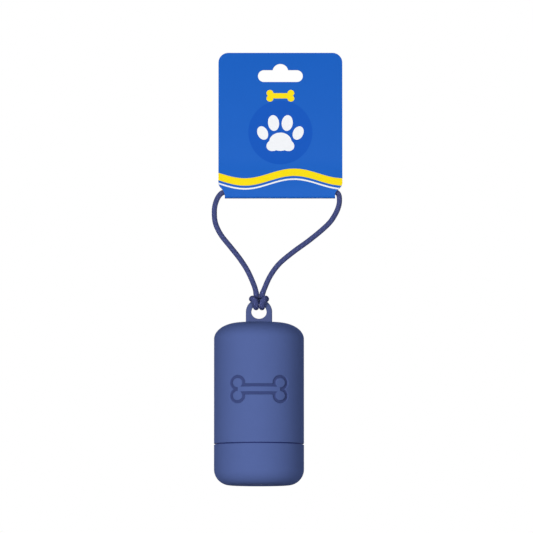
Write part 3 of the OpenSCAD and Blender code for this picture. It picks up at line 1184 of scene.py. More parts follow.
@dataclass
class Lanyard:
    """Braided cord loop: from its sleeve in the card's fold, down to the hitch on the tab, and back up.

    Its yarns stand proud by a multiple of weave, and it swells by a share at the front of the knot.
    """

    diameter: float = 0.0024
    fold_z: float = FOLD_Z
    axis_x: float = AXIS_X
    tab_z: float = -0.1108
    ring_gap: float = 0.165 * MM
    steps: int = 24
    smoothings: int = 6
    sides: int = 60
    strands: int = 12
    pitch: float = 0.0080
    weave: float = 0.05 * MM
    proud: float = 2.4
    swell: float = 0.12
    swell_z: float = -0.1000
    swell_y: float = 0.0015
    swell_way: Flat = (0.0025, 0.002)
    ring_r: float = 0.00617
    hole_r: float = 0.00353
    ring_half: float = 0.00142
    sleeve_half: float = 0.007
    sleeve_t: float = 0.25 * MM
    waist: float = 0.06 * MM
    crease: float = 80.0
    exit_x: float = -0.0262

    def route(self) -> list[Vector]:
        """The points that the cord follows, from one cut end to the other.

        Returns:
            The points in metres.
        """
        fold = self.fold_z / MM
        left = [
            (-0.6, 0, fold), (-5, 0, fold), (-10, 0, fold), (-15, 0, fold), (-20, 0, fold), (-24, 0, fold),
            (-26, 0, fold), (-27.3, 0, -54.9), (-28.6, 0, -56.1), (-29.7, 0, -58), (-30.6, 0, -60.8),
            (-30.9, 0, -63.8), (-30.4, 0, -69), (-27.9, 0, -74.4), (-23.5, 0, -80), (-19, 0, -85.7),
            (-15.4, 0, -91.3), (-12.8, 0, -97), (-11.85, 0, -99.6), (-11.3, 0, -102.2),
        ]
        half = [
            (-1.3, 0.7, 7.6), (-1.25, 2.05, 6.6), (-1.3, 2.7, 5.1), (-1.3, 2.6, 3.6), (-1.33, 1.5, 2.5),
            (-1.38, 0, 2.25), (-1.4, -1.5, 2.5), (-1.45, -2.65, 3.5), (-1.75, -2.85, 4.6),
            (-2.4, -2.4, 5.75), (-2.95, -1.1, 6.3), (-3.3, 0.7, 6.4), (-3.5, 2.4, 6.3),
            (-3.1, 4.3, 6.15), (-1.7, 5.3, 6.05),
        ]
        bight = [(0, 5.5, 6)]
        other = [(-x, y, z) for x, y, z in reversed(half)]
        right = [
            (-8.4, 0, -102.2), (-7.4, 0, -99.6), (-4.9, 0, -94.1), (-0.9, 0, -88.5), (5.6, 0, -82.9),
            (13.4, 0, -77.2), (20.2, 0, -71.6), (23.7, 0, -68), (26.5, 0, -63.2), (27.5, 0, -60),
            (27.6, 0, -57.4), (27.3, 0, -55.75), (26.5, 0, -54.75), (25.2, 0, fold), (20, 0, fold),
            (15, 0, fold), (10, 0, fold), (5, 0, fold), (0.6, 0, fold),
        ]
        knot = [(self.axis_x / MM + x, y, self.tab_z / MM + z) for x, y, z in half + bight + other]
        return [Vector(p) * MM for p in left + knot + right]

    def line(self) -> tuple[np.ndarray, float]:
        """The smooth centreline through the route, with its rings evenly apart.

        Returns:
            The points, and the length in metres.
        """
        points = np.array([list(p) for p in self.route()])
        padded = np.vstack([2 * points[0] - points[1], points, 2 * points[-1] - points[-2]])
        dense = []
        for a, b, c, d in zip(padded, padded[1:], padded[2:], padded[3:]):
            spans = [max(np.linalg.norm(q - p), TINY) ** 0.5 for p, q in ((a, b), (b, c), (c, d))]
            knots = np.cumsum([0.0] + spans)
            for t in np.linspace(knots[1], knots[2], self.steps, endpoint=False):
                ab = a + (b - a) * (t - knots[0]) / (knots[1] - knots[0])
                bc = b + (c - b) * (t - knots[1]) / (knots[2] - knots[1])
                cd = c + (d - c) * (t - knots[2]) / (knots[3] - knots[2])
                abc = ab + (bc - ab) * (t - knots[0]) / (knots[2] - knots[0])
                bcd = bc + (cd - bc) * (t - knots[1]) / (knots[3] - knots[1])
                dense.append(abc + (bcd - abc) * (t - knots[1]) / (knots[2] - knots[1]))
        dense = np.array(dense + [points[-1]])
        for _ in range(self.smoothings):
            dense[1:-1] = dense[1:-1] * 0.5 + (dense[:-2] + dense[2:]) * 0.25
        along = np.concatenate([[0.0], np.cumsum(np.linalg.norm(np.diff(dense, axis=0), axis=1))])
        even = np.linspace(0.0, along[-1], int(along[-1] / self.ring_gap) + 1)
        return np.stack([np.interp(even, along, dense[:, k]) for k in range(3)], axis=1), float(along[-1])

    def frames(self, line: np.ndarray) -> tuple[np.ndarray, np.ndarray]:
        """Two sideways directions at each point, carried along without twist.

        Args:
            line: The centreline.

        Returns:
            The first and the second direction at each point.
        """
        ways = np.gradient(line, axis=0)
        ways /= np.linalg.norm(ways, axis=1)[:, None]
        side = np.cross(ways[0], (0.0, 1.0, 0.0))
        sides = []
        for way in ways:
            side = side - (side @ way) * way
            side = side / np.linalg.norm(side)
            sides.append(side)
        sides = np.array(sides)
        return sides, np.cross(ways, sides)

    def raised(self, around: float, along: float) -> float:
        """How far a yarn stands proud, from 0 to 1.

        Args:
            around: Share of the way round.
            along: Length in pitches.

        Returns:
            The height.
        """
        one = math.sin(math.pi * self.strands * (around + along))
        two = math.sin(math.pi * self.strands * (around - along))
        top, run = (one, two) if one * two > 0 else (two, one)
        return abs(top) * abs(run) ** 0.4

    def pressed(self, point: Vector) -> Vector:
        """Moves a point of the cord out of the tab's ring, which the tight knot is drawn against.

        Args:
            point: The point on the round cord.

        Returns:
            The point on the flattened cord.
        """
        x, z = point.x - self.axis_x, point.z - self.tab_z
        across = math.hypot(x, z)
        outer, inner, face = self.ring_r - across, across - self.hole_r, self.ring_half - abs(point.y)
        if min(outer, inner, face) <= 0:
            return point
        if face < min(outer, inner):
            return Vector((point.x, math.copysign(self.ring_half, point.y), point.z))
        out = (self.ring_r if outer < inner else self.hole_r) / across
        return Vector((self.axis_x + x * out, point.y, self.tab_z + z * out))

    def cord(self) -> bpy.types.Object:
        """Builds the cord as one braided tube.

        Returns:
            The cord's object.
        """
        line, length = self.line()
        first, second = self.frames(line)
        last, radius = len(line) - 1, self.diameter / 2

        def place(around: float, along: float) -> Vector:
            """Finds the point on the yarns, which swell a little on the front of the knot.

            Args:
                around: Share of the way round the cord.
                along: Share of its length.

            Returns:
                The point.
            """
            i = min(last, round(along * last))
            yarn = self.raised(around, along * length / self.pitch)
            r = radius - self.weave + self.proud * self.weave * yarn
            below = ease((self.swell_z - line[i][2]) / self.swell_way[0])
            before = ease((self.swell_y - line[i][1]) / self.swell_way[1])
            r *= 1 + self.swell * below * before
            a = math.tau * around
            return self.pressed(Vector(line[i] + r * (math.cos(a) * first[i] + math.sin(a) * second[i])))

        bm = bmesh.new()
        sheet_of(bm, self.sides, last, place, lambda around, along: (around, along * length / self.pitch))
        closed_up(bm, 2 * MERGE)
        obj = piece(bm, "braided_cord", [BraidedPolyester("braided_polyester")], slot="cord",
                    stands_for=["lanyard_cord", "lanyard_hitch"], crease=self.crease)
        obj.data.uv_layers[0].name = "lay"
        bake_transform(obj)
        sleeve = self.sleeve()
        log.info("cord length %.4f", length)
        return obj

    def sleeve(self) -> bpy.types.Object:
        """Builds the shrunk tube over the cord's two ends.

        Returns:
            The sleeve's object.
        """
        bore, half, r = self.diameter / 2, self.sleeve_half, 0.1 * MM
        outer = bore + self.sleeve_t
        low = [(bore, -half), (outer - r, -half), (outer, -half + r), (outer, -1.2 * MM)]
        low += [(outer - self.waist, -0.4 * MM)]
        bm = bmesh.new()
        turned(bm, mirrored(low), 48, closed=True)
        bmesh.ops.rotate(bm, verts=bm.verts, cent=(0, 0, 0), matrix=Matrix.Rotation(math.pi / 2, 3, "Y"))
        bmesh.ops.translate(bm, verts=bm.verts, vec=(0, 0, self.fold_z))
        closed_up(bm)
        finish = DullRubber("shrunk_tube", paint(32, 38, 74), 0.5)
        return piece(bm, "shrunk_sleeve", [finish], "lanyard", "sleeve", ["cord_sleeve"])


# ---- Card ----


@dataclass
class HangCard:
    """Folded retail card: two bonded panels, a round pocket for the cord, a hang slot and two notches."""

    width: float = 0.058
    top: float = 0.0109
    drop: float = 0.0575
    board_t: float = 0.00045
    corner: float = 0.0046
    notch_x: float = 0.026
    notch_z: float = FOLD_Z
    notch_top: float = -0.0513
    right_inset: float = 0.0004
    right_lower: float = 0.0002
    right_round: float = 0.0009
    left_round: float = 0.0020
    tip_round: float = 0.0012
    fold_r: float = 0.0022
    square: float = 4.0
    pocket_z: float = -0.0536
    bond_z: float = -0.038
    panel_y: float = 0.0005
    slot_l: float = 0.021
    slot_h: float = 0.0056
    rise_r: float = 0.0037
    rise_z: float = 0.002

    def depth(self, z: float) -> float:
        """Half the folded card's thickness at a height.

        Args:
            z: The height.

        Returns:
            The distance from its middle to the outside of a panel.
        """
        fold = self.fold_r - self.drop
        if z < fold:
            return self.fold_r * max(0.0, 1 - ((fold - z) / self.fold_r) ** self.square) ** (1 / self.square)
        share = (z - self.pocket_z) / (self.bond_z - self.pocket_z)
        return self.fold_r + (self.panel_y - self.fold_r) * ease(share)

    def outline(self, bm: bmesh.types.BMesh) -> None:
        """Draws the panel's outline with its rounded corners, as edges alone.

        Args:
            bm: The mesh that it goes into.
        """
        half = self.width / 2
        upper = [(half, self.notch_top), (half, self.top)]
        left = [(self.notch_x, -self.drop), (self.notch_x, self.notch_z)] + upper
        inner = self.notch_x - self.right_inset
        right = [(inner, -self.drop), (inner, self.notch_z - self.right_lower)] + upper
        corners = right + [(-x, z) for x, z in reversed(left)]
        verts = [bm.verts.new((x, 0, z)) for x, z in corners]
        bm.faces.new(verts)
        rounds = (0, self.right_round, self.tip_round, self.corner)
        rounds += (self.corner, self.tip_round, self.left_round, 0)
        for radius in sorted(set(rounds) - {0}):
            chosen = [vert for vert, r in zip(verts, rounds) if r == radius]
            bmesh.ops.bevel(bm, geom=chosen, offset=radius, segments=12, profile=0.5, affect="VERTICES",
                            clamp_overlap=True, material=-1)
        bmesh.ops.delete(bm, geom=list(bm.faces), context="FACES_ONLY")

    def slot(self, bm: bmesh.types.BMesh) -> None:
        """Draws the hang slot with the round rise over its middle, as edges alone.

        Args:
            bm: The mesh that it goes into.
        """
        r, end = self.slot_h / 2, self.slot_l / 2 - self.slot_h / 2
        lift = math.degrees(math.asin((r - self.rise_z) / self.rise_r))
        points = arc(end, 0, r, r, -90, 90, 20)
        points += arc(0, self.rise_z, self.rise_r, self.rise_r, lift, 180 - lift, 24)
        points += arc(-end, 0, r, r, 90, 270, 20)
        verts = [bm.verts.new((x, 0, z)) for x, z in points]
        for pair in zip(verts, verts[1:] + verts[:1]):
            bm.edges.new(pair)

    def build(self) -> None:
        """Builds the folded card and dresses its glue film."""
        bm = bmesh.new()
        self.outline(bm)
        self.slot(bm)
        bmesh.ops.triangle_fill(bm, use_beauty=True, use_dissolve=False, edges=bm.edges[:])
        fold = self.fold_r - self.drop
        rows = [fold - self.fold_r * math.sin(math.radians(a)) ** (2 / self.square) for a in range(0, 90, 5)]
        rows += [self.pocket_z + (self.bond_z - self.pocket_z) * i / 16 for i in range(17)]
        for z in rows:
            bmesh.ops.bisect_plane(bm, geom=bm.verts[:] + bm.edges[:] + bm.faces[:], dist=TOUCH,
                                   plane_co=(0, 0, z), plane_no=(0, 0, 1))
        for v in bm.verts:
            v.co.y = -self.depth(v.co.z)
        bmesh.ops.recalc_face_normals(bm, faces=bm.faces)
        high = max(bm.faces, key=lambda f: f.calc_center_median().z)
        if high.normal.y > 0:
            bmesh.ops.reverse_faces(bm, faces=bm.faces)
        copied = bmesh.ops.duplicate(bm, geom=bm.verts[:] + bm.edges[:] + bm.faces[:])["geom"]
        back = only(copied, bmesh.types.BMFace)
        bmesh.ops.scale(bm, vec=(1, -1, 1), verts=only(copied, bmesh.types.BMVert))
        bmesh.ops.reverse_faces(bm, faces=back)
        for f in back:
            f.material_index = 1
        bmesh.ops.remove_doubles(bm, verts=[v for v in bm.verts if abs(v.co.y) < TOUCH], dist=MERGE)
        inside = BareBoard("bare_board")
        cut = BareBoard("cut_edge", paint(233, 238, 246), paint(198, 206, 222), 0.12)
        prints = [PrintedBoard("front_print"), PrintedBoard("back_print", PrintSide.BACK)]
        finishes = prints + [inside, inside, cut, cut]
        obj = piece(bm, "folded_card", finishes, "card", "card", ["hang_card"])
        wall = obj.modifiers.new("board", "SOLIDIFY")
        wall.thickness, wall.offset = self.board_t, -1.0
        wall.use_even_offset, wall.use_rim = True, True
        wall.material_offset, wall.material_offset_rim = len(prints), 2 * len(prints)
        settle(obj)
        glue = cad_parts["card_adhesive"]
        glue.data.materials.clear()
        glue.data.materials.append(DriedGlue("dried_glue").material())


# ---- Capsule ----


class WallSide(Enum):
    """Which side of a round wall a ridge stands on, as the sign of its height."""

    OUTER = 1
    INNER = -1


@dataclass
class Screw:
    """Two-start thread of low ridges with rounded crests.

    A crest starts to round at shoulder, a share of its height, and is flat for flat, a share of its width,
    to each side of its middle.
    """

    lead: float = 0.006
    height: float = 0.0009
    crest: float = 0.0009
    root: float = 0.0019
    bite: float = 0.00035
    shoulder: float = 0.8
    flat: float = 0.3
    fade: float = 0.09
    sunk: float = 0.0001
    steps: int = 96

    def ridges(self, bm: bmesh.types.BMesh, wall_r: float, side: WallSide, turns: float,
               low_z: float) -> None:
        """Adds the two ridges, opposite each other.

        Args:
            bm: The mesh that they go into.
            wall_r: Radius of the wall.
            side: The side of the wall that they stand on.
            turns: How far each goes round.
            low_z: Height that they start at.
        """
        for start in (0.0, math.pi):
            absorb(bm, self.ridge(wall_r, side.value, turns, low_z, start))

    def ridge(self, wall_r: float, outward: int, turns: float, low_z: float,
              start: float) -> bmesh.types.BMesh:
        """Builds one helical ridge that grows out of a round wall and fades at both ends.

        Args:
            wall_r: Radius of the wall.
            outward: 1 where it stands outwards, -1 inwards.
            turns: How far it goes round.
            low_z: Height that it starts at.
            start: Angle that it starts at, in radians.

        Returns:
            The ridge's mesh.
        """
        low, top = wall_r - outward * self.bite, wall_r + outward * self.height
        near = wall_r + outward * self.height * self.shoulder
        half_root = self.root / 2 + (self.root - self.crest) * self.bite / self.height / 2
        section = mirrored([(low, -half_root), (near, -self.crest * 0.5), (top, -self.crest * self.flat)])
        shell = bmesh.new()
        verts = turned(shell, [(r, low_z + z) for r, z in section], int(self.steps * turns), closed=True,
                       start=start, sweep=math.tau * turns, climb=self.lead * turns)
        # An angle that lies a little before the start counts as the start, not as a whole turn.
        slack = 0.01
        for v in verts:
            angle = (math.atan2(v.co.y, v.co.x) - start + slack) % math.tau - slack
            share = angle / (math.tau * turns)
            full = ease(min(share, 1 - share) / self.fade)
            r = math.hypot(v.co.x, v.co.y)
            proud = (r - wall_r) * outward
            if proud > 0:
                new = wall_r + outward * (proud * full - self.sunk * (1 - full))
                v.co.x, v.co.y = v.co.x * new / r, v.co.y * new / r
        closed_up(shell)
        return shell


@dataclass
class BoneLine:
    """Bone drawn as one line, pressed into the housing's front."""

    z: float = 0.0440
    half_l: float = 0.010
    knob_r: float = 0.0035
    knob_up: float = 0.003
    bar_half: float = 0.0025
    line: float = 0.0013
    depth: float = 0.0004
    soft: float = 0.00013

    def beyond(self, x: float, z: float, inset: float) -> float:
        """How far a point lies outside the bone's shape.

        Args:
            x: Across from the bone's middle.
            z: Up from its middle.
            inset: How far the shape is shrunk all round.

        Returns:
            The distance, which is negative inside.
        """
        knob = math.hypot(abs(x) - self.half_l, abs(z) - self.knob_up) - self.knob_r + inset
        bar = max(abs(x) - self.half_l, abs(z) - self.bar_half + inset)
        return min(knob, bar)

    def share(self, x: float, z: float) -> float:
        """How deep a point lies in the line, from 0 to 1.

        Args:
            x: Across from the capsule's axis.
            z: Height in the capsule's frame.

        Returns:
            The share of the full depth.
        """
        z -= self.z
        outside = ease(0.5 - self.beyond(x, z, 0.0) / (2 * self.soft))
        return outside * ease(0.5 + self.beyond(x, z, self.line) / (2 * self.soft))


@dataclass
class Capsule:
    """Domed housing with its tab, dark seal, and screw cap. Heights are from the capsule's base.

    The pressed line lies in rows of faces, each row high, that go on past it by spare.
    """

    axis_x: float = AXIS_X
    base_z: float = -0.1917
    body_r: float = 0.021
    body_h: float = 0.0760
    wall: float = 0.002
    dome_flat_r: float = 0.0090
    dome_rise: float = 0.00775
    neck_r: float = 0.01795
    neck_bore_r: float = 0.01635
    neck_low: float = 0.01040
    shoulder: float = 0.01940
    inner_top: float = 0.0739
    inner_rise: float = 0.00615
    cap_h: float = 0.01890
    seal_t: float = 0.00045
    seal_in: float = 0.0006
    round_steps: int = 144
    cap_inner_r: float = 0.0191
    floor_t: float = 0.0022
    base_round: float = 0.0075
    cap_round: float = 0.0056
    cap_rows: Flat = (0.0125, 0.0160)
    ribs: int = 4
    rib_in: float = 0.011
    rib_out: float = 0.0165
    rib_t: float = 0.0016
    rib_top: float = 0.005
    rib_foot: float = 0.0004
    rib_round: float = 0.0003
    outlet_l: float = 0.018
    outlet_w: float = 0.007
    outlet_round: float = 0.0003
    lip: float = 0.0007
    thread_up: float = 0.0013
    neck_turns: float = 0.75
    cap_turns: float = 0.65
    tab_r: float = 0.00615
    tab_t: float = 0.0028
    tab_z: float = 0.0809
    hole_half: float = 0.00355
    hole_up: float = 0.0037
    hole_down: float = 0.00315
    tab_foot: float = 0.0005
    tab_round: float = 0.0007
    hole_round: float = 0.0004
    fillet: float = 0.0003
    edge: float = 0.00015
    skin: float = 0.00005
    row: float = 0.00019
    spare: float = 0.0006
    front_half: float = math.radians(47)
    front_steps: int = 176
    back_steps: int = 84

    def seat(self, bm: bmesh.types.BMesh) -> None:
        """Moves a mesh from the capsule's own frame to its place."""
        bmesh.ops.translate(bm, verts=bm.verts, vec=(self.axis_x, 0, self.base_z))

    def housing_profile(self, bone: BoneLine) -> list[Flat]:
        """The housing's wall from the neck's foot, over the dome, and down the inside.

        Args:
            bone: The pressed line, where the rows are close together.

        Returns:
            The points, as radius and height.
        """
        e, dome = self.edge, self.body_h - self.dome_rise
        low = bone.z - bone.knob_up - bone.knob_r - self.spare
        high = bone.z + bone.knob_up + bone.knob_r + self.spare
        rows = int((high - low) / self.row)
        outer = [(self.neck_r - e, self.neck_low), (self.neck_r, self.neck_low + e)]
        outer += [(self.neck_r, self.shoulder - e)]
        outer += arc(self.neck_r + e, self.shoulder - e, e, e, 180, 90, 4)[1:]
        outer += arc(self.body_r - e, self.shoulder + e, e, e, -90, 0, 6)
        outer += [(self.body_r, self.shoulder + 0.001 + i * 0.0035) for i in range(4)]
        outer += [(self.body_r, low + (high - low) * i / rows) for i in range(rows + 1)]
        outer += [(self.body_r, high + (dome - high) * i / 6) for i in range(1, 6)]
        outer += arc(self.dome_flat_r, dome, self.body_r - self.dome_flat_r, self.dome_rise, 0, 90, 30)
        outer += [(self.dome_flat_r * 0.5, self.body_h), (0, self.body_h), (0, self.inner_top)]
        inner_r, inner_z = self.body_r - self.wall, self.inner_top - self.inner_rise
        inner = arc(self.dome_flat_r, inner_z, inner_r - self.dome_flat_r, self.inner_rise, 90, 0, 10)
        inner += [(inner_r, self.shoulder + 0.005), (self.neck_bore_r, self.shoulder + self.wall)]
        inner += [(self.neck_bore_r, self.neck_low + e), (self.neck_bore_r + e, self.neck_low)]
        return outer + inner

    def tab(self) -> bmesh.types.BMesh:
        """Builds the cord tab: an arch with rounded edges and an oval hole.

        Returns:
            The tab's mesh.
        """
        bm = bmesh.new()
        foot, half = self.body_h - self.tab_foot, self.tab_t / 2
        legs = [(self.tab_r, foot + (self.tab_z - foot) * i / 8) for i in range(8)]
        outer = legs + arc(0, self.tab_z, self.tab_r, self.tab_r, 0, 180, 40)
        outer += [(-x, z) for x, z in reversed(legs)]
        outer += [(-self.tab_r + 2 * self.tab_r * i / 16, foot) for i in range(1, 16)]
        inner = []
        for x, z in outer:
            up = self.hole_up if z > self.tab_z else self.hole_down
            away = math.atan2((z - self.tab_z) / up, x / self.hole_half)
            inner.append((self.hole_half * math.cos(away), self.tab_z + up * math.sin(away)))
        loops = []
        for points in (outer, inner):
            verts = [bm.verts.new((x, -half, z)) for x, z in points]
            loops += [bm.edges.new(pair) for pair in zip(verts, verts[1:] + verts[:1])]
        bmesh.ops.bridge_loops(bm, edges=loops)
        made = bmesh.ops.extrude_face_region(bm, geom=bm.faces[:])["geom"]
        bmesh.ops.translate(bm, verts=only(made, bmesh.types.BMVert), vec=(0, self.tab_t, 0))
        bmesh.ops.recalc_face_normals(bm, faces=bm.faces)
        level = [e for e in bm.edges if abs(e.verts[0].co.y - e.verts[1].co.y) < TOUCH]
        above = [e for e in level if max(v.co.z for v in e.verts) > foot + MERGE]
        sharp = [e for e in above if len(e.link_faces) == 2 and e.calc_face_angle(0) > math.radians(70)]
        reach = 1.02 * max(self.hole_half, self.hole_up)
        round_hole = [e for e in sharp if math.hypot(e.verts[0].co.x, e.verts[0].co.z - self.tab_z) < reach]
        rim = [e for e in sharp if e not in round_hole]
        rounded(bm, rim, self.tab_round, 6)
        rounded(bm, [e for e in round_hole if e.is_valid], self.hole_round, 5)
        closed_up(bm)
        return bm

    def tab_fillet(self) -> bmesh.types.BMesh:
        """Builds the hollow fillet where the tab stands on the dome.

        Returns:
            The fillet's mesh.
        """
        size, corner, sunk = self.fillet, self.tab_round, 0.05 * MM
        half_l, half_t = self.tab_r - corner, self.tab_t / 2 - corner

        def place(around: float, down: float) -> Vector:
            """Finds the point on the hollow.

            Args:
                around: Share of the way round the tab.
                down: Share of the way down the hollow.

            Returns:
                The point.
            """
            a, t = math.tau * around, math.pi / 2 * down
            n = Vector((math.cos(a), math.sin(a), 0))
            middle = Vector((math.copysign(half_l, n.x), math.copysign(half_t, n.y), self.body_h + size))
            out = corner - 0.03 * MM + size * (1 - math.cos(t))
            return middle + n * out - Vector((0, 0, size * math.sin(t) + sunk * down))

        bm = bmesh.new()
        sheet_of(bm, 64, 8, place)
        closed_up(bm)
        return bm

    def housing(self) -> None:
        """Builds the domed housing with its pressed bone, threaded neck and tab."""
        bone = BoneLine()
        profile = self.housing_profile(bone)
        bm = bmesh.new()
        # The front holds the pressed line, so it is spun in finer steps than the back.
        front, half = -math.pi / 2, self.front_half
        turned(bm, profile, self.front_steps, closed=True, start=front - half, sweep=2 * half)
        turned(bm, profile, self.back_steps, closed=True, start=front + half, sweep=math.tau - 2 * half)
        closed_up(bm)
        pressed = bm.verts.layers.float.new("pressed")
        for v in bm.verts:
            r = math.hypot(v.co.x, v.co.y)
            if v.co.y < 0 and r > self.body_r - self.skin:
                share = bone.share(v.co.x, v.co.z)
                v[pressed] = share
                scale = (r - bone.depth * share) / r
                v.co.x, v.co.y = v.co.x * scale, v.co.y * scale
        Screw().ridges(bm, self.neck_r, WallSide.OUTER, self.neck_turns, self.neck_low + self.thread_up)
        absorb(bm, self.tab())
        absorb(bm, self.tab_fillet())
        self.seat(bm)
        piece(bm, "moulded_housing", [SoftTouchPlastic("soft_touch_shell")], "capsule", "shell", ["housing"])

    def seal(self) -> None:
        """Builds the dark seal ring in the parting line."""
        outer, inner, r = self.body_r - self.seal_in, self.cap_inner_r, 0.08 * MM
        low, high = self.cap_h, self.cap_h + self.seal_t
        profile = [(inner, low), (outer - r, low), (outer, low + r)]
        profile += [(outer, high - r), (outer - r, high), (inner, high)]
        bm = bmesh.new()
        turned(bm, profile, self.round_steps, closed=True)
        closed_up(bm)
        self.seat(bm)
        piece(bm, "seal_ring", [DullRubber("seal_rubber", paint(14, 34, 104))], "seal", "seal", ["seam_seal"])

    def stadium(self, length: float, width: float, angle: float) -> Vector:
        """Point on a slot's outline that lies in a direction from its middle.

        Args:
            length: The slot's length.
            width: The slot's width.
            angle: The direction, in radians.

        Returns:
            The point, level.
        """
        half, r = (length - width) / 2, width / 2
        c, s = math.cos(angle), math.sin(angle)
        if abs(s) > TINY and abs(c) * r / abs(s) <= half:
            return Vector((c * r / abs(s), math.copysign(r, s), 0))
        along = half * abs(c) + math.sqrt(max(0.0, r * r - (half * s) ** 2))
        return Vector((c * along, s * along, 0))

    def outlet(self, bm: bmesh.types.BMesh) -> None:
        """Closes the cap's floor round the bag outlet, with a flared lip below and a soft edge above.

        Args:
            bm: The cap's wall, whose floor is still open.
        """
        angles = [math.pi / 2 * k / 5 for k in range(6)]
        rings = [(self.lip * (1 - math.sin(a)), self.lip * (1 - math.cos(a))) for a in angles]
        r = self.outlet_round
        rings += [(0.0, self.floor_t - r), (0.3 * r, self.floor_t - 0.3 * r), (r, self.floor_t)]
        loop = [edge for edge in bm.edges if edge.is_boundary and abs(edge.verts[0].co.z) < TOUCH]
        for grow, z in rings:
            made = bmesh.ops.extrude_edge_only(bm, edges=loop)["geom"]
            loop = only(made, bmesh.types.BMEdge)
            for v in only(made, bmesh.types.BMVert):
                angle = math.atan2(v.co.y, v.co.x)
                if abs(z) < TINY:
                    v.co = self.stadium(self.outlet_l + 2 * grow, self.outlet_w + 2 * grow, angle)
                else:
                    inner = self.stadium(self.outlet_l, self.outlet_w, angle)
                    v.co = inner + inner.normalized() * grow
                v.co.z = z
        bmesh.ops.bridge_loops(bm, edges=[edge for edge in bm.edges if edge.is_boundary])

    def cap(self) -> None:
        """Builds the screw cap: its wall, the outlet in its floor, the ribs and the thread."""
        e, flat = self.edge, self.body_r - self.base_round
        inner_flat = self.cap_inner_r - self.cap_round
        profile = arc(flat, self.base_round, self.base_round, self.base_round, -90, 0, 26)
        profile += [(self.body_r, z) for z in self.cap_rows]
        profile += arc(self.body_r - e, self.cap_h - e, e, e, 0, 90, 6)
        profile += [(self.cap_inner_r + e, self.cap_h), (self.cap_inner_r, self.cap_h - e)]
        profile += arc(inner_flat, self.floor_t + self.cap_round, self.cap_round, self.cap_round, 0, -90, 14)
        bm = bmesh.new()
        turned(bm, profile, self.round_steps)
        bmesh.ops.remove_doubles(bm, verts=bm.verts, dist=MERGE)
        self.outlet(bm)
        bmesh.ops.remove_doubles(bm, verts=bm.verts, dist=MERGE)
        bmesh.ops.recalc_face_normals(bm, faces=bm.faces)
        for i in range(self.ribs):
            absorb(bm, self.rib(math.radians(45 + 360 / self.ribs * i)))
        screw = Screw()
        low = self.neck_low + self.thread_up + screw.lead / 4
        screw.ridges(bm, self.cap_inner_r, WallSide.INNER, self.cap_turns, low)
        self.seat(bm)
        piece(bm, "screw_cap_shell", [SoftTouchPlastic("soft_touch_shell")], "screw_cap", "shell", ["cap"])

    def rib(self, angle: float) -> bmesh.types.BMesh:
        """Builds one rib that carries the roll, with rounded upper edges.

        Args:
            angle: Its direction from the axis.

        Returns:
            The rib's mesh.
        """
        bm = bmesh.new()
        bmesh.ops.create_cube(bm, size=1.0)
        low = self.floor_t - self.rib_foot
        middle = ((self.rib_out + self.rib_in) / 2, 0, (self.rib_top + low) / 2)
        bmesh.ops.scale(bm, vec=(self.rib_out - self.rib_in, self.rib_t, self.rib_top - low), verts=bm.verts)
        bmesh.ops.translate(bm, vec=middle, verts=bm.verts)
        upper = [e for e in bm.edges if max(v.co.z for v in e.verts) > self.rib_top - MERGE]
        rounded(bm, upper, self.rib_round, 3)
        bmesh.ops.rotate(bm, verts=bm.verts, cent=(0, 0, 0), matrix=Matrix.Rotation(angle, 3, "Z"))
        return bm

    def build(self) -> None:
        """Builds the housing, the seal and the cap."""
        self.housing()
        self.seal()
        self.cap()


# ---- Bag roll ----


@dataclass(frozen=True)
class Winding:
    """One sheet wound round the roll's axis, from an inner to an outer radius. Angles are in radians.

    It reaches from the height low to high in so many rows, and a ragged sheet's torn end is toothed.
    """

    name: str
    node: str
    slot: str
    finish: Finish
    inner: float
    outer: float
    turns: float
    start: float
    film: float
    low: float
    high: float
    rows: int
    ragged: float = 0.0
    wander: float = 0.00012

    def build(self, axis_x: float) -> None:
        """Winds the sheet and gives it its thickness.

        Args:
            axis_x: Where the roll's axis stands.
        """
        def place(up: float, along: float) -> Vector:
            """Finds the point on the outside of the sheet.

            Args:
                up: Share of its height.
                along: Share of its length.

            Returns:
                The point.
            """
            row = round(up * self.rows)
            tooth = self.ragged if along > 0.9999 and row % 2 else 0.0
            a = self.start + math.tau * self.turns * along - tooth
            r = self.inner + self.film + (self.outer - self.inner - self.film) * along
            wander = self.wander * math.sin(5 * a + 1.3) * (1 if up in (0.0, 1.0) else 0)
            z = self.low + (self.high - self.low) * up + wander * (1 - 2 * up)
            return Vector((axis_x + r * math.cos(a), r * math.sin(a), z))

        bm = bmesh.new()
        sheet_of(bm, self.rows, max(48, int(64 * self.turns)), place)
        for f in bm.faces:
            f.normal_update()
        sample = next(iter(bm.faces))
        middle = sample.calc_center_median() - Vector((axis_x, 0, 0))
        if sample.normal.dot(Vector((middle.x, middle.y, 0))) < 0:
            bmesh.ops.reverse_faces(bm, faces=bm.faces)
        bmesh.ops.solidify(bm, geom=bm.faces[:], thickness=self.film)
        piece(bm, self.name, [self.finish], "bag_roll", self.slot, [self.node])


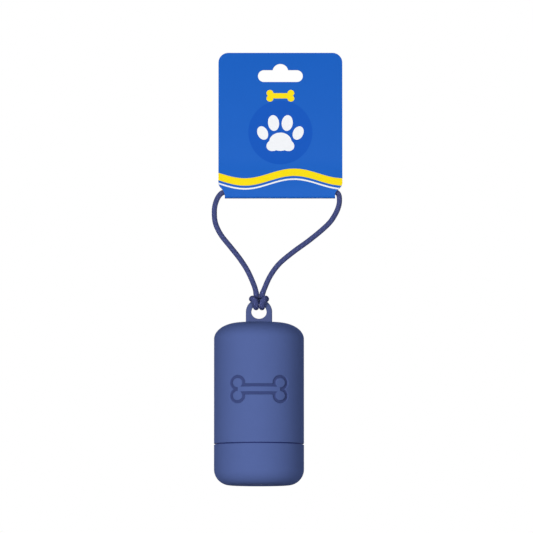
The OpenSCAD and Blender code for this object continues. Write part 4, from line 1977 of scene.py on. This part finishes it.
@dataclass
class BagRoll:
    """Cardboard core with fifteen bags wound on it, and the paper band that holds the loose end."""

    axis_x: float = AXIS_X
    low: float = -0.18655
    length: float = 0.062
    core_r: float = 0.007
    core_gap: float = 0.00002
    core_wall: float = 0.0012
    core_lead: float = 21.0
    edge: float = 0.0002
    roll_r: float = 0.01525
    bags: int = 15
    film_t: float = 0.00008
    pitch: float = 0.00012
    first_angle: float = 0.4
    gap_angle: float = 0.02
    torn: float = 0.03
    inner_rows: int = 3
    outer_rows: int = 48
    band_t: float = 0.00015
    band_l: float = 0.020
    band_gap: float = 0.00001
    band_turns: float = 1.12
    band_angle: float = 2.2
    band_film: float = 0.00006

    def wound_r(self, count: float) -> float:
        """Radius of the roll with so many bags on it."""
        return math.sqrt(self.core_r ** 2 + (self.roll_r ** 2 - self.core_r ** 2) * count / self.bags)

    def core(self) -> None:
        """Builds the core with softened ends."""
        outer, inner, e = self.core_r - self.core_gap, self.core_r - self.core_wall, self.edge
        high = self.length
        profile = [(inner + e, 0), (outer - e, 0), (outer, e), (outer, high - e)]
        profile += [(outer - e, high), (inner + e, high), (inner, high - e), (inner, e)]
        bm = bmesh.new()
        turned(bm, profile, 96, closed=True)
        bmesh.ops.translate(bm, verts=bm.verts, vec=(self.axis_x, 0, self.low))
        closed_up(bm)
        board = BareBoard("wound_board", paint(186, 156, 118), paint(150, 120, 84), 0.4,
                          seam_lead=self.core_lead, centre=(self.axis_x, 0, 0))
        piece(bm, "board_core", [board], "bag_roll", "core", ["roll_core"])

    def film(self) -> None:
        """Winds the bags on, each from where the one before it ends."""
        finish, angle, high = BagFilm("bag_film"), self.first_angle, self.low + self.length
        for n in range(1, self.bags + 1):
            inner, outer = self.wound_r(n - 1), self.wound_r(n)
            turns = (outer - inner) / self.pitch
            rows = self.outer_rows if n == self.bags else self.inner_rows
            bag = Winding(f"film_bag_{n:02d}", f"bag_{n:02d}", "film", finish, inner, outer, turns, angle,
                          self.film_t, self.low, high, rows, self.torn)
            bag.build(self.axis_x)
            angle += math.tau * turns + self.gap_angle

    def band(self) -> None:
        """Lays the paper band round the middle of the roll."""
        paper = BareBoard("band_paper", paint(244, 243, 238), paint(226, 224, 216), 0.3, 0.75)
        middle = self.low + self.length / 2
        low, high = middle - self.band_l / 2, middle + self.band_l / 2
        band = Winding("paper_band", "roll_band", "band", paper, self.roll_r + self.band_gap,
                       self.roll_r + self.band_t, self.band_turns, self.band_angle, self.band_film,
                       low, high, 8)
        band.build(self.axis_x)

    def build(self) -> None:
        """Builds the core, the bags and the band."""
        self.core()
        self.film()
        self.band()


# ---- Whole ----


def main() -> None:
    """Builds the camera, the cord, the other sub-assemblies and the studio."""
    logging.basicConfig(level=logging.INFO, format="%(name)s %(message)s")
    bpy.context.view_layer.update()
    studio = Studio()
    studio.camera()
    Lanyard().cord()
    HangCard().build()
    Capsule().build()
    BagRoll().build()
    studio.build()


if __name__ == "__main__":
    main()
